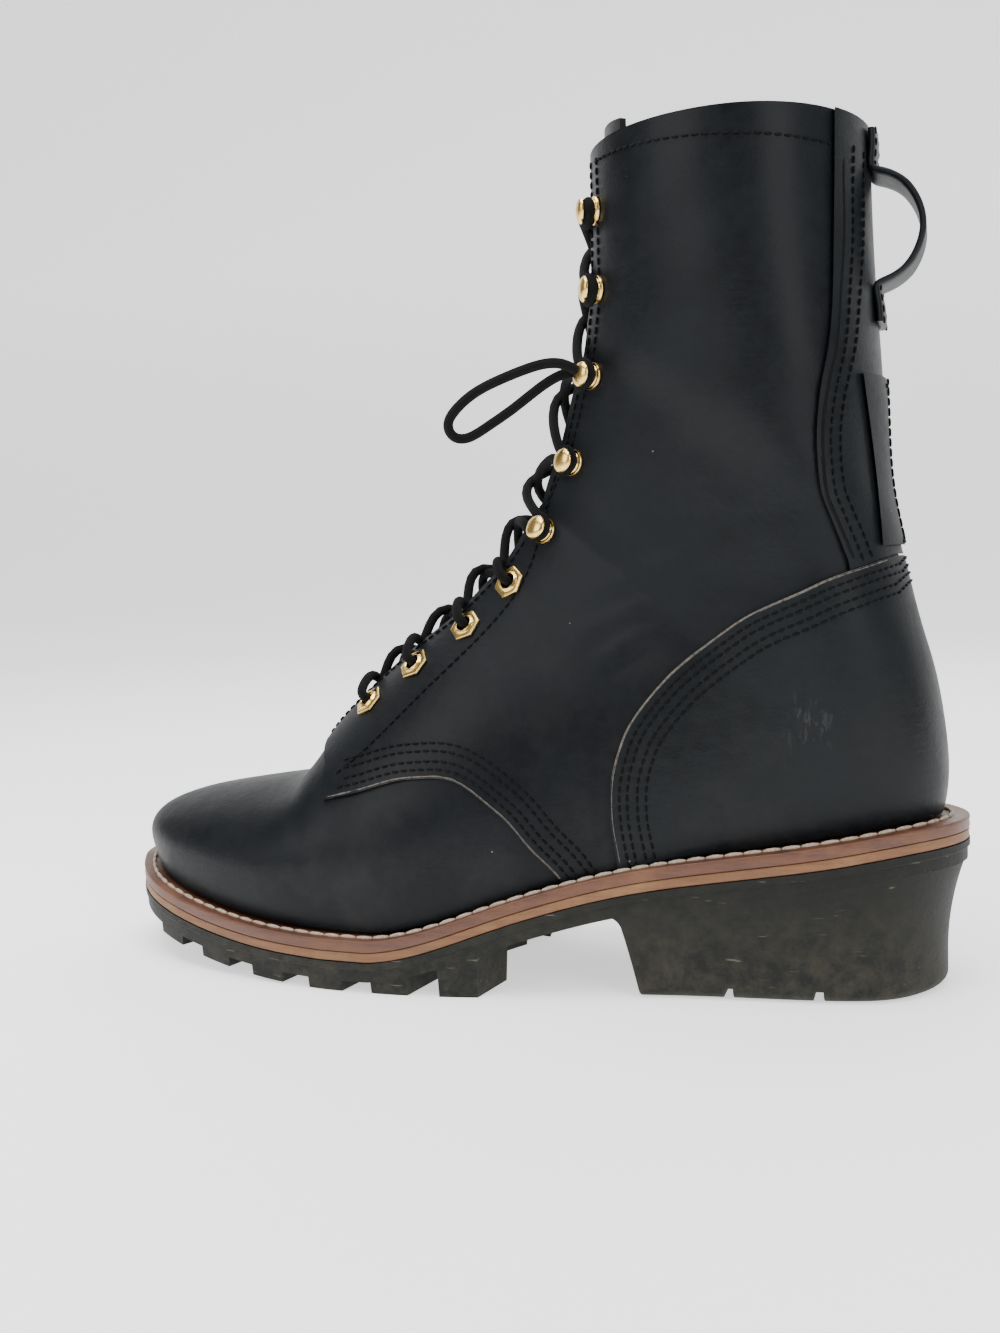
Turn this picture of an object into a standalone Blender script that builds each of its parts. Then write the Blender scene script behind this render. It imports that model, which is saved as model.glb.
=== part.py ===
"""Logger boot for the left foot, standing on its sole.

Metres, +Z up. The toe points to -X and the outer (lateral) side faces -Y. The shape of the last is one
function, skin(), which every leather piece reads: a fan of sections from the toe to the collar.
"""
import math

import bmesh
import bpy
import numpy as np
from mathutils import Matrix, Vector

for old in list(bpy.data.objects):
    bpy.data.objects.remove(old)

# Last and shaft
LAST_LENGTH = 0.2927
BALL_WIDTH = 0.098
HEEL_WIDTH = 0.0536
ANKLE_WIDTH = 0.066
SHAFT_WIDTH = 0.090
INSTEP_HEIGHT = 0.1136
SHAFT_HEIGHT = 0.144
BACK_LEAN = 0.0205
HEEL_X = -0.0043

# Leather
UPPER_WALL = 0.0020
QUARTER_THICKNESS = 0.0012
COUNTER_THICKNESS = 0.0015
BACKSTAY_THICKNESS = 0.0012
STRIP_THICKNESS = 0.0010
TONGUE_THICKNESS = 0.0022
TONGUE_RISE = 0.008
TONGUE_LAP = 0.017
TONGUE_GAP = 0.0011
THROAT_GAP = 0.020
COLLAR_GAP = 0.026
CLEARANCE = 0.0003
SEAT_GAP = 0.0009
LAYER_GAP = 0.0006
FITTING_GAP = 0.0007

# Sole
HEEL_HEIGHT = 0.0550
FOREFOOT_HEIGHT = 0.0178
TOE_SPRING = 0.0135
WELT_THICKNESS = 0.0040
WELT_OVERHANG = 0.0070
HEEL_OVERHANG = 0.0118
WELT_LAP = 0.0100
MIDSOLE_THICKNESS = 0.0026
RUBBER_THICKNESS = 0.0066
RUBBER_LIP = 0.0022
LIP_STEP = 0.0007
INSOLE_THICKNESS = 0.0035
INSOLE_GAP = 0.0014
INSOLE_HEEL_GAP = 0.0034
BREAST_FROM_HEEL = 0.0965
BREAST_SLANT = 0.0070
BREAST_FILLET = 0.0070
HEEL_INSET = 0.0062
HEEL_ROUNDING = 0.020
HEEL_EDGE_RADIUS = 0.0050
HEEL_TREAD_DEPTH = 0.0040
HEEL_TREAD_WIDTH = 0.0045
LUG_PITCH = 0.0235
LUG_GROOVE = 0.0100
LUG_WIDTH = 0.0210
CENTRE_LUG_WIDTH = 0.0160

# Fittings
EYELET_ACROSS = 0.0105
EYELET_HOLE = 0.0050
EYELET_THICKNESS = 0.0011
EYELET_WALL = 0.0006
HOOK_DIAMETER = 0.0092
HOOK_HEIGHT = 0.0062
HOOK_PLATE = 0.0010
FITTING_INSET = 0.0085
LACE_DIAMETER = 0.0034
LACE_INSET = 0.0010
LOOP_WIDTH = 0.020
LOOP_THICKNESS = 0.0020
LOOP_BULGE = 0.0140
LOOP_BASE_SHARE = 0.821
LOOP_TOP_SHARE = 0.951
LOOP_TAB = 0.012

# Mesh fineness
STATIONS = 20
COLUMNS = 8
MERGE = 0.00001

# Row numbers of the fan of sections where the form changes
CUP_ROW = 12
HEEL_ROW = 18
COLLAR_ROW = 29
THROAT_ROW = 8.2
TURN = 0.35

# Rows at which every leather shell is faceted, so that neighbouring shells stay parallel.
ROWS = np.array((
    0.0, 1.0, 2.0, 3.0, 4.0, 5.0, 6.0, 7.0, 8.2, 8.6, 9.3, 10.2, 11.2, 12.0, 13.0, 14.0, 15.0, 16.0, 17.0,
    17.5, 17.8, 18.0, 19.0, 20.2, 21.4, 22.6, 24.0, 25.6, 27.3, 29.0,
))

# The feather line in plan, seen from above.
# Columns: share of the length from the toe, lateral and medial half widths as shares of a width, the width.
OUTLINE = (
    (0.020, 0.090, 0.265, BALL_WIDTH),
    (0.060, 0.250, 0.383, BALL_WIDTH),
    (0.120, 0.367, 0.449, BALL_WIDTH),
    (0.200, 0.449, 0.482, BALL_WIDTH),
    (0.280, 0.498, 0.490, BALL_WIDTH),
    (0.360, 0.520, 0.464, BALL_WIDTH),
    (0.450, 0.510, 0.398, BALL_WIDTH),
    (0.550, 0.459, 0.321, BALL_WIDTH),
    (0.650, 0.720, 0.505, HEEL_WIDTH),
    (0.750, 0.605, 0.470, HEEL_WIDTH),
    (0.850, 0.520, 0.475, HEEL_WIDTH),
    (0.920, 0.440, 0.430, HEEL_WIDTH),
    (0.970, 0.290, 0.290, HEEL_WIDTH),
)
TOE_TIP_SHARE = 0.092

# Height of the welt's top along the foot.
# Columns: share of the last's length from the heel, share of the heel's rise, share of the toe spring.
SOLE_LINE = (
    (-0.06, 1.03, 0.0),
    (0.02, 1.00, 0.0),
    (0.10, 0.90, 0.0),
    (0.20, 0.785, 0.0),
    (0.30, 0.67, 0.0),
    (0.38, 0.53, 0.0),
    (0.46, 0.34, 0.0),
    (0.53, 0.145, 0.0),
    (0.60, 0.010, 0.0),
    (0.67, 0.000, 0.0),
    (0.75, 0.000, 0.09),
    (0.84, 0.000, 0.34),
    (0.93, 0.000, 0.71),
    (1.01, 0.000, 1.06),
)

# Stations of the fan's lower ends along the feather line, from the toe to the waist, as shares of the length.
FEATHER = (0.0, 0.002, 0.0085, 0.0205, 0.041, 0.077, 0.133, 0.2016, 0.273, 0.345, 0.4236, 0.509, 0.601)

# Lower ends of the sections behind the waist, where the sections pass below the feather line and are cut
# by it, so that the heel cup closes smoothly.
# Columns: share of the length from the heel, share of the heel's height, lateral and medial half widths there
# as shares of the heel's width.
HEEL_CUP = (
    (0.293, 0.716, 0.600, 0.350),
    (0.197, 0.700, 0.375, 0.235),
    (0.112, 0.710, 0.220, 0.170),
    (0.052, 0.765, 0.115, 0.100),
    (0.018, 0.868, 0.040, 0.040),
)

# The line up the back, from the heel seat to the collar.
# Columns: share of the height from heel seat to collar, share of the back's lean.
BACK_LINE = (
    (0.000, 0.00),
    (0.040, -0.09),
    (0.099, -0.09),
    (0.198, 0.06),
    (0.275, 0.28),
    (0.361, 0.50),
    (0.443, 0.69),
    (0.524, 0.80),
    (0.637, 0.84),
    (0.758, 0.92),
    (0.884, 0.98),
    (1.000, 1.00),
)

# The sections of the fan, from toe to collar.
# Columns: reach of the front line from the heel as a share of the length, its height as shares of instep and
# shaft height, lateral and medial half widths as shares of a width, that width, share of the section where it
# is broadest, and roundness of its upper part.
SECTIONS = (
    (1.0000, 0.120, 0.0, 0.00, 0.18, BALL_WIDTH, 0.40, 0.85),
    (1.0062, 0.155, 0.0, 0.03, 0.20, BALL_WIDTH, 0.40, 0.85),
    (1.0089, 0.203, 0.0, 0.06, 0.24, BALL_WIDTH, 0.40, 0.85),
    (1.0000, 0.261, 0.0, 0.12, 0.30, BALL_WIDTH, 0.40, 0.85),
    (0.9761, 0.310, 0.0, 0.21, 0.36, BALL_WIDTH, 0.40, 0.86),
    (0.9317, 0.349, 0.0, 0.31, 0.43, BALL_WIDTH, 0.40, 0.88),
    (0.8667, 0.380, 0.0, 0.41, 0.49, BALL_WIDTH, 0.38, 0.90),
    (0.7984, 0.407, 0.0, 0.485, 0.515, BALL_WIDTH, 0.37, 0.93),
    (0.7475, 0.449, 0.0, 0.526, 0.522, BALL_WIDTH, 0.36, 0.97),
    (0.7115, 0.577, 0.0, 0.536, 0.505, BALL_WIDTH, 0.33, 1.10),
    (0.6605, 0.718, 0.0, 0.532, 0.475, BALL_WIDTH, 0.30, 1.14),
    (0.5955, 0.864, 0.0, 0.500, 0.425, BALL_WIDTH, 0.28, 1.14),
    (0.5495, 0.961, 0.0, 0.449, 0.378, BALL_WIDTH, 0.28, 1.12),
    (0.5170, 1.0, 0.038, 0.715, 0.640, HEEL_WIDTH, 0.320, 1.10),
    (0.4927, 1.0, 0.097, 0.660, 0.615, HEEL_WIDTH, 0.365, 1.08),
    (0.4756, 1.0, 0.153, 0.630, 0.605, HEEL_WIDTH, 0.385, 1.06),
    (0.4620, 1.0, 0.198, 0.615, 0.600, HEEL_WIDTH, 0.395, 1.05),
    (0.4534, 1.0, 0.229, 0.607, 0.597, HEEL_WIDTH, 0.375, 1.04),
    (0.4493, 1.0, 0.250, 0.603, 0.595, HEEL_WIDTH, 0.345, 1.04),
    (0.4397, 1.0, 0.299, 0.490, 0.485, ANKLE_WIDTH, 0.335, 1.0),
    (0.4295, 1.0, 0.350, 0.490, 0.485, ANKLE_WIDTH, 0.33, 1.0),
    (0.4158, 1.0, 0.427, 0.492, 0.488, ANKLE_WIDTH, 0.34, 1.0),
    (0.4022, 1.0, 0.500, 0.503, 0.497, ANKLE_WIDTH, 0.36, 1.0),
    (0.3868, 1.0, 0.576, 0.530, 0.525, ANKLE_WIDTH, 0.38, 1.0),
    (0.3782, 1.0, 0.642, 0.430, 0.430, SHAFT_WIDTH, 0.40, 1.0),
    (0.3714, 1.0, 0.701, 0.449, 0.449, SHAFT_WIDTH, 0.42, 1.0),
    (0.3680, 1.0, 0.778, 0.470, 0.470, SHAFT_WIDTH, 0.44, 1.0),
    (0.3663, 1.0, 0.854, 0.486, 0.486, SHAFT_WIDTH, 0.45, 1.0),
    (0.3656, 1.0, 0.927, 0.495, 0.495, SHAFT_WIDTH, 0.46, 1.0),
    (0.3652, 1.0, 1.000, 0.500, 0.500, SHAFT_WIDTH, 0.46, 1.0),
)


def spline(values):
    """Natural cubic spline through values numbered 0, 1, 2 and on, as a function of the number."""
    y = np.asarray(values, float)
    count = len(y)
    system = np.zeros((count, count))
    right = np.zeros(count)
    system[0, 0] = 1.0
    system[-1, -1] = 1.0
    for i in range(1, count - 1):
        system[i, i - 1:i + 2] = (1.0, 4.0, 1.0)
        right[i] = 6.0 * (y[i - 1] - 2.0 * y[i] + y[i + 1])
    bend = np.linalg.solve(system, right)

    def read(number):
        t = np.clip(np.asarray(number, float), 0.0, count - 1.0)
        i = np.minimum(t.astype(int), count - 2)
        u = t - i
        v = 1.0 - u
        return v * y[i] + u * y[i + 1] + ((v ** 3 - v) * bend[i] + (u ** 3 - u) * bend[i + 1]) / 6.0

    return read


def curve_through(points, count):
    """Evenly numbered points on a smooth curve through the given points."""
    table = np.asarray(points, float)
    numbers = np.linspace(0.0, len(table) - 1.0, count)
    return np.stack([spline(table[:, k])(numbers) for k in range(table.shape[1])], axis=1)


def smoothstep(low, high, value):
    share = np.clip((np.asarray(value, float) - low) / (high - low), 0.0, 1.0)
    return share * share * (3.0 - 2.0 * share)


# Heights along the sole
HEEL_RISE = HEEL_HEIGHT - FOREFOOT_HEIGHT
TOE_X = HEEL_X - LAST_LENGTH
COLLAR_HEIGHT = FOREFOOT_HEIGHT + INSTEP_HEIGHT + SHAFT_HEIGHT
LOOP_BASE = LOOP_BASE_SHARE * COLLAR_HEIGHT
LOOP_TOP = LOOP_TOP_SHARE * COLLAR_HEIGHT


def sole_top(x):
    """Height of the welt's top at x."""
    share = (HEEL_X - np.asarray(x, float)) / LAST_LENGTH
    table = np.array(SOLE_LINE)
    fine = np.linspace(0.0, len(table) - 1.0, 400)
    along = spline(table[:, 0])(fine)
    height = FOREFOOT_HEIGHT + HEEL_RISE * spline(table[:, 1])(fine) + TOE_SPRING * spline(table[:, 2])(fine)
    height = np.maximum(height, FOREFOOT_HEIGHT)
    return np.interp(share, along, height)


def closed_outline():
    """The feather line in plan as a fine closed polygon, from the toe tip round the lateral side."""
    lateral = [(HEEL_X - LAST_LENGTH * (1.0 - s), -a * width) for s, a, b, width in OUTLINE]
    medial = [(HEEL_X - LAST_LENGTH * (1.0 - s), b * width) for s, a, b, width in reversed(OUTLINE)]
    tip = [(TOE_X, TOE_TIP_SHARE * BALL_WIDTH)]
    ring = tip + lateral + [(HEEL_X, 0.0)] + medial
    wrapped = ring[-4:] + ring + ring[:4]
    fine = 24
    points = curve_through(wrapped, (len(wrapped) - 1) * fine + 1)
    return points[4 * fine:-4 * fine + fine - 1]


OUTLINE_POINTS = closed_outline()


def overhang(x, toe_side, heel_side):
    """How far a sole layer stands out beyond the feather line at x."""
    middle = HEEL_X - 0.45 * LAST_LENGTH
    return toe_side + (heel_side - toe_side) * smoothstep(middle, HEEL_X, x)


def widened(toe_side, heel_side):
    """Toe tip, heel tip and the lateral and medial edges of the outline, moved outwards."""
    points = OUTLINE_POINTS
    ahead = np.roll(points, -1, axis=0) - np.roll(points, 1, axis=0)
    outward = np.stack([ahead[:, 1], -ahead[:, 0]], axis=1)
    outward /= np.linalg.norm(outward, axis=1)[:, None]
    if np.dot(outward[0], (-1.0, 0.0)) < 0.0:
        outward = -outward
    moved = points + outward * overhang(points[:, 0], toe_side, heel_side)[:, None]
    toe = int(np.argmin(moved[:, 0]))
    moved = np.roll(moved, -toe, axis=0)
    heel = int(np.argmax(moved[:, 0]))
    return moved[:heel + 1], np.vstack([moved[heel:], moved[:1]])[::-1]


def edge_y(edge, x):
    """The y of one edge of an outline at x."""
    order = np.maximum.accumulate(edge[:, 0])
    return np.interp(x, order, edge[:, 1])


FEATHER_EDGES = widened(0.0, 0.0)


def front_and_back():
    """Splines in the row number for the two ends of each section and for its widths."""
    feather_x = TOE_X + LAST_LENGTH * np.array(FEATHER)
    cup = np.array(HEEL_CUP)
    back = np.array(BACK_LINE)
    cup_x = HEEL_X - LAST_LENGTH * cup[:, 0]
    back_x = HEEL_X - BACK_LEAN * back[:, 1]
    seat = float(sole_top(HEEL_X)) + SEAT_GAP
    back_z = seat + (COLLAR_HEIGHT - seat) * back[:, 0]
    low_x = np.concatenate([feather_x, cup_x, back_x])
    low_z = np.concatenate([sole_top(feather_x) + SEAT_GAP, HEEL_HEIGHT * cup[:, 1], back_z])
    closed = np.zeros(len(back_x))
    low_lateral = np.concatenate([edge_y(FEATHER_EDGES[0], feather_x), -HEEL_WIDTH * cup[:, 2], closed])
    low_medial = np.concatenate([edge_y(FEATHER_EDGES[1], feather_x), HEEL_WIDTH * cup[:, 3], closed])
    front_x = HEEL_X - LAST_LENGTH * np.array([row[0] for row in SECTIONS])
    front_z = FOREFOOT_HEIGHT + INSTEP_HEIGHT * np.array([row[1] for row in SECTIONS])
    front_z = front_z + SHAFT_HEIGHT * np.array([row[2] for row in SECTIONS])
    front_x[0] = TOE_X
    front_z[0] = float(sole_top(TOE_X)) + SEAT_GAP
    lateral = np.array([row[3] * row[5] for row in SECTIONS])
    medial = np.array([row[4] * row[5] for row in SECTIONS])
    return {
        "low_x": spline(low_x),
        "low_z": spline(low_z),
        "low_lateral": spline(low_lateral),
        "low_medial": spline(low_medial),
        "back_z": spline(back_z),
        "front_x": spline(front_x),
        "front_z": spline(front_z),
        "lateral": spline(lateral),
        "medial": spline(medial),
        "broadest": spline([row[6] for row in SECTIONS]),
        "roundness": spline([row[7] for row in SECTIONS]),
    }


FORM = front_and_back()
TOE_BULGE = 0.0022
TOE_NORMAL = np.array((-0.94, 0.0, -0.34))


def section_ends(t):
    """Lower or back end and upper or front end of the section with row number t."""
    x = FORM["low_x"](t)
    z = np.where(t < CUP_ROW, sole_top(x) + SEAT_GAP, FORM["low_z"](t))
    return x, z, FORM["front_x"](t), FORM["front_z"](t)


def surface(t, a, side):
    """Point of the upper's outer face: row number t, share a from feather or back seam to ridge, side -1 or 1."""
    t, a = np.broadcast_arrays(np.asarray(t, float), np.asarray(a, float))
    low_x, low_z, top_x, top_z = section_ends(t)
    edge = FEATHER_EDGES[0] if side < 0 else FEATHER_EDGES[1]
    below_cup = FORM["low_lateral" if side < 0 else "low_medial"](t)
    low_y = np.where(t < CUP_ROW, edge_y(edge, low_x), below_cup * (t < HEEL_ROW))
    middle = TOE_TIP_SHARE * BALL_WIDTH * (1.0 - smoothstep(0.0, 9.0, t))
    wide = side * FORM["lateral" if side < 0 else "medial"](t)
    bulging = low_y + side * TOE_BULGE * smoothstep(-1.0, 4.0, t)
    weight = smoothstep(4.0, 8.0, t)
    wide = bulging * (1.0 - weight) + wide * weight
    broadest = FORM["broadest"](t)
    turn_low = np.clip(a / TURN, 0.0, 1.0) * math.pi / 2.0
    turn_top = np.clip((a - TURN) / (1.0 - TURN), 0.0, 1.0) * math.pi / 2.0
    below = a <= TURN
    share = np.where(
        below,
        broadest * (1.0 - np.cos(turn_low)),
        broadest + (1.0 - broadest) * np.sin(turn_top) ** FORM["roundness"](t),
    )
    y = np.where(
        below,
        low_y + (wide - low_y) * np.sin(turn_low),
        middle + (wide - middle) * np.maximum(np.cos(turn_top), 0.0) ** FORM["roundness"](t),
    )
    x = low_x + (top_x - low_x) * share
    z = low_z + (top_z - low_z) * share
    pinch = t <= 0.0
    x = np.where(pinch, TOE_X, x)
    y = np.where(pinch, TOE_TIP_SHARE * BALL_WIDTH, y)
    z = np.where(pinch, FORM["front_z"](0.0), z)
    return np.stack([x, y, z], axis=-1)


def outward_normal(t, a, side):
    """Unit normal of the outer face, pointing out of the boot."""
    step = 0.02
    t = np.clip(np.asarray(t, float), 0.5, COLLAR_ROW - step)
    near_feather = 0.09 * (1.0 - smoothstep(CUP_ROW, CUP_ROW + 2.0, t))
    a = np.clip(np.maximum(np.asarray(a, float), near_feather), step, 1.0 - step)
    along = surface(t + step, a, side) - surface(t - step, a, side)
    across = surface(t, a + step, side) - surface(t, a - step, side)
    normal = np.cross(across, along) * side
    return normal / np.linalg.norm(normal, axis=-1, keepdims=True)


def centred(t, a):
    """Share of the way to a centre line, back seam or ridge, where both sides must meet."""
    seam = (1.0 - smoothstep(0.0, 0.10, a)) * (t >= HEEL_ROW)
    ridge = smoothstep(0.90, 1.0, a)
    return np.maximum(seam, ridge)


def skin(t, a, side, offset):
    """Point at a distance off the outer face, kept above the welt and on the centre line at its seams."""
    t, a = np.broadcast_arrays(np.asarray(t, float), np.asarray(a, float))
    normal = outward_normal(t, a, side)
    mirrored = outward_normal(t, a, -side)
    shared = (normal + mirrored) / 2.0
    shared[..., 1] = 0.0
    weight = centred(t, a)[..., None]
    normal = normal * (1.0 - weight) + shared * weight
    normal = np.where((t <= 0.0)[..., None], TOE_NORMAL, normal)
    normal /= np.linalg.norm(normal, axis=-1, keepdims=True)
    point = surface(t, a, side) + normal * offset
    point[..., 2] = np.maximum(point[..., 2], sole_top(point[..., 0]) + SEAT_GAP)
    return point


def feather_share(t, side):
    """Share a at which the section leaves the welt."""
    t = np.atleast_1d(np.asarray(t, float))
    low = np.zeros_like(t)
    high = np.full_like(t, TURN)
    for _ in range(40):
        middle = (low + high) / 2.0
        point = surface(t, middle, side)
        under = point[:, 2] < sole_top(point[:, 0]) + SEAT_GAP
        low = np.where(under, middle, low)
        high = np.where(under, high, middle)
    return np.where((t > CUP_ROW) & (t < HEEL_ROW), high, 0.0)


def throat_half_gap(t):
    """Half the width of the throat's opening at row t."""
    opening = np.clip((t - THROAT_ROW) / 1.4, 0.0, 1.0)
    grown = THROAT_GAP + (COLLAR_GAP - THROAT_GAP) * smoothstep(10.0, COLLAR_ROW, t)
    return 0.5 * grown * np.sqrt(opening * (2.0 - opening))


def reach_of(t, half_width):
    """Share a at which the section is half_width away from its ridge line."""
    narrow = np.minimum(FORM["lateral"](t), FORM["medial"](t))
    cosine = np.clip(half_width / np.maximum(narrow, MERGE), 0.0, 0.95)
    turn_top = np.arccos(cosine ** (1.0 / FORM["roundness"](t)))
    return TURN + (1.0 - TURN) * turn_top / (math.pi / 2.0)


def facing_edge(t):
    """Share a of the facing's edge: the ridge before the throat, then the edge of its opening."""
    t = np.asarray(t, float)
    return np.where(t <= THROAT_ROW, 1.0, reach_of(t, throat_half_gap(t)))


# Mesh helpers

def new_object(name, mesh, material):
    obj = bpy.data.objects.new(name, mesh)
    bpy.context.scene.collection.objects.link(obj)
    mesh.materials.clear()
    mesh.materials.append(material)
    return obj


def make_piece(name, vertices, faces, material):
    """One object from vertices and faces, merged, closed and facing outwards."""
    mesh = bpy.data.meshes.new(name)
    mesh.from_pydata([tuple(map(float, v)) for v in vertices], [], faces)
    shape = bmesh.new()
    shape.from_mesh(mesh)
    bmesh.ops.remove_doubles(shape, verts=shape.verts, dist=MERGE)
    bmesh.ops.dissolve_degenerate(shape, dist=MERGE, edges=shape.edges)
    bmesh.ops.recalc_face_normals(shape, faces=shape.faces)
    shape.to_mesh(mesh)
    shape.free()
    mesh.shade_smooth()
    mesh.set_sharp_from_angle(angle=math.radians(35.0))
    return new_object(name, mesh, material)


def boolean(obj, cutter, operation):
    """Apply an exact Boolean with a cutter, which is then removed."""
    material = obj.data.materials[0]
    modifier = obj.modifiers.new(operation.title(), "BOOLEAN")
    modifier.operation = operation
    modifier.solver = "EXACT"
    modifier.object = cutter
    cutter.hide_render = True
    cutter.display_type = "WIRE"
    graph = bpy.context.evaluated_depsgraph_get()
    result = bpy.data.meshes.new_from_object(obj.evaluated_get(graph))
    obj.modifiers.clear()
    obj.data = result
    result.name = obj.name
    result.materials.clear()
    result.materials.append(material)
    bpy.data.objects.remove(cutter)
    return obj


def plan_solid(name, plans, material, ring=False):
    """Solid through plans, each a pair of lateral and medial edges with matching stations."""
    vertices = []
    for lateral, medial in plans:
        vertices.extend(lateral)
        vertices.extend(medial)
    count = len(plans[0][0])
    size = 2 * count
    faces = []
    levels = len(plans)
    for k in range(levels if ring else levels - 1):
        upper = k * size
        lower = ((k + 1) % levels) * size
        for i in range(count - 1):
            faces.append((upper + i, upper + i + 1, lower + i + 1, lower + i))
            faces.append((upper + count + i + 1, upper + count + i, lower + count + i, lower + count + i + 1))
        faces.append((upper + count, upper, lower, lower + count))
        faces.append((upper + count - 1, upper + size - 1, lower + size - 1, lower + count - 1))
    if not ring:
        for start in (0, (levels - 1) * size):
            for i in range(count - 1):
                faces.append((start + i, start + i + 1, start + count + i + 1, start + count + i))
    return make_piece(name, vertices, faces, material)


def sole_plan(toe_side, heel_side, drop, stations=STATIONS):
    """Lateral and medial edges of a sole layer at a depth below the welt's top."""
    lateral, medial = widened(toe_side, heel_side)
    share = (1.0 - np.cos(np.linspace(0.0, math.pi, stations + 1))) / 2.0
    x = lateral[0, 0] + (lateral[-1, 0] - lateral[0, 0]) * share
    z = sole_top(x) - drop
    edges = []
    for edge in (lateral, medial):
        edges.append(np.stack([x, edge_y(edge, x), z], axis=1))
    return edges


def prism(name, outline, low_y, high_y, material):
    """Side-view outline extruded across the boot."""
    count = len(outline)
    vertices = [(x, low_y, z) for x, z in outline] + [(x, high_y, z) for x, z in outline]
    faces = [tuple(range(count)), tuple(reversed(range(count, 2 * count)))]
    for i in range(count):
        j = (i + 1) % count
        faces.append((i, j, count + j, count + i))
    return make_piece(name, vertices, faces, material)


def body_shell(name, rows, outer, inner, material, columns=COLUMNS):
    """Leather shell round the last between two offsets, open at throat, collar and feather line."""
    rows = np.asarray(rows, float)
    levels = len(rows)
    width = columns + 1
    t = np.repeat(rows[:, None], width, axis=1)
    layers = []
    for offset in (outer, inner):
        for side in (-1, 1):
            start = feather_share(rows, side)[:, None]
            a = start + (facing_edge(rows)[:, None] - start) * np.linspace(0.0, 1.0, width)[None, :]
            layers.append(skin(t, a, side, offset).reshape(-1, 3))
    vertices = np.concatenate(layers)
    block = levels * width
    faces = []
    for layer in range(4):
        flip = layer in (1, 2)
        for i in range(levels - 1):
            for j in range(width - 1):
                start = layer * block + i * width + j
                for corners in ((0, 1, width + 1), (0, width + 1, width)):
                    triangle = tuple(start + corner for corner in corners)
                    faces.append(triangle[::-1] if flip else triangle)
    for half in range(2):
        out = half * block
        back = (2 + half) * block
        for i in range(levels - 1):
            if rows[i + 1] <= HEEL_ROW + 0.001:
                p, q = i * width, (i + 1) * width
                faces.append((out + p, out + q, back + q, back + p))
            if rows[i] >= THROAT_ROW - 0.001:
                p, q = i * width + columns, (i + 1) * width + columns
                faces.append((out + p, out + q, back + q, back + p))
        ends = [levels - 1] if rows[0] <= 0.0 else [0, levels - 1]
        for i in ends:
            for j in range(width - 1):
                p = i * width + j
                faces.append((out + p, out + p + 1, back + p + 1, back + p))
    return make_piece(name, vertices, faces, material)


def material(name, colour, roughness, metallic=0.0):
    made = bpy.data.materials.new(name)
    made.use_nodes = True
    shader = made.node_tree.nodes["Principled BSDF"]
    shader.inputs["Base Color"].default_value = (*colour, 1.0)
    shader.inputs["Roughness"].default_value = roughness
    shader.inputs["Metallic"].default_value = metallic
    return made


# Edges of the overlays as seen from the side.
# Columns: share of the last's length from the heel, share of the collar's height.
QUARTER_EDGE = (
    (0.679, 0.228), (0.631, 0.240), (0.587, 0.254), (0.552, 0.259), (0.511, 0.256), (0.4715, 0.229),
    (0.448, 0.207), (0.424, 0.176), (0.401, 0.151), (0.382, 0.123),
)
COUNTER_EDGE = (
    (0.036, 0.5095), (0.072, 0.496), (0.106, 0.483), (0.134, 0.469), (0.177, 0.449), (0.213, 0.425),
    (0.252, 0.394), (0.281, 0.365), (0.311, 0.325), (0.3255, 0.292), (0.3335, 0.261), (0.336, 0.229),
    (0.3345, 0.198), (0.330, 0.167), (0.327, 0.131),
)
BACKSTAY_EDGE = (
    (0.0895, 1.050), (0.092, 0.853), (0.0957, 0.759), (0.1015, 0.719), (0.1066, 0.688), (0.1097, 0.653),
    (0.1097, 0.624), (0.107, 0.588), (0.100, 0.562), (0.089, 0.530), (0.081, 0.506),
)
STRIP_EDGE = ((0.065, 0.715), (0.0575, 0.643), (0.0515, 0.581), (0.0485, 0.545), (0.047, 0.522))
QUARTER_FRONT = ((0.689, 0.270), (0.712, 0.292), (0.735, 0.325))

# The lacing, from the bottom up: row number and distance in from the facing's edge.
EYELETS = ((10.13, 0.0130), (11.00, 0.0122), (12.28, 0.0105), (13.90, 0.0092))
HOOKS = ((16.30, 0.0085), (20.20, 0.0085), (22.60, 0.0085), (25.20, 0.0085), (27.25, 0.0085))

# The free loop of lace. Columns: forwards from the third hook, outwards to the side, upwards from it.
LOOP_ROUTE = (
    (0.0050, 0.0000, 0.0035),
    (0.0110, 0.0015, 0.0020),
    (0.0200, 0.0025, -0.0010),
    (0.0290, 0.0030, -0.0050),
    (0.0360, 0.0020, -0.0100),
    (0.0392, 0.0000, -0.0142),
    (0.0385, -0.0030, -0.0178),
    (0.0340, -0.0050, -0.0184),
    (0.0270, -0.0055, -0.0150),
    (0.0190, -0.0052, -0.0105),
    (0.0120, -0.0050, -0.0060),
    (0.0065, -0.0050, -0.0025),
)


def side_points(table):
    """Side-view points from shares of the last's length and the collar's height."""
    return [(HEEL_X - LAST_LENGTH * along, COLLAR_HEIGHT * up) for along, up in table]


def smooth_side(table, count):
    return [tuple(point) for point in curve_through(side_points(table), count)]


FAR_BACK = HEEL_X + 0.03
FAR_TOP = COLLAR_HEIGHT + 0.03
EDGE_GAP = 0.0005

LEATHER = material("leather", (0.012, 0.013, 0.014), 0.42)
WELT_LEATHER = material("welt_leather", (0.22, 0.075, 0.03), 0.55)
MIDSOLE_LEATHER = material("midsole_leather", (0.36, 0.16, 0.06), 0.6)
RUBBER = material("rubber", (0.035, 0.036, 0.032), 0.75)
INSOLE_BOARD = material("insole_board", (0.35, 0.22, 0.12), 0.7)
BRASS = material("brass", (0.83, 0.58, 0.20), 0.22, 1.0)
LACE = material("lace", (0.012, 0.012, 0.012), 0.85)


def rows_between(low, high):
    return ROWS[(ROWS >= low) & (ROWS <= high)]


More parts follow.
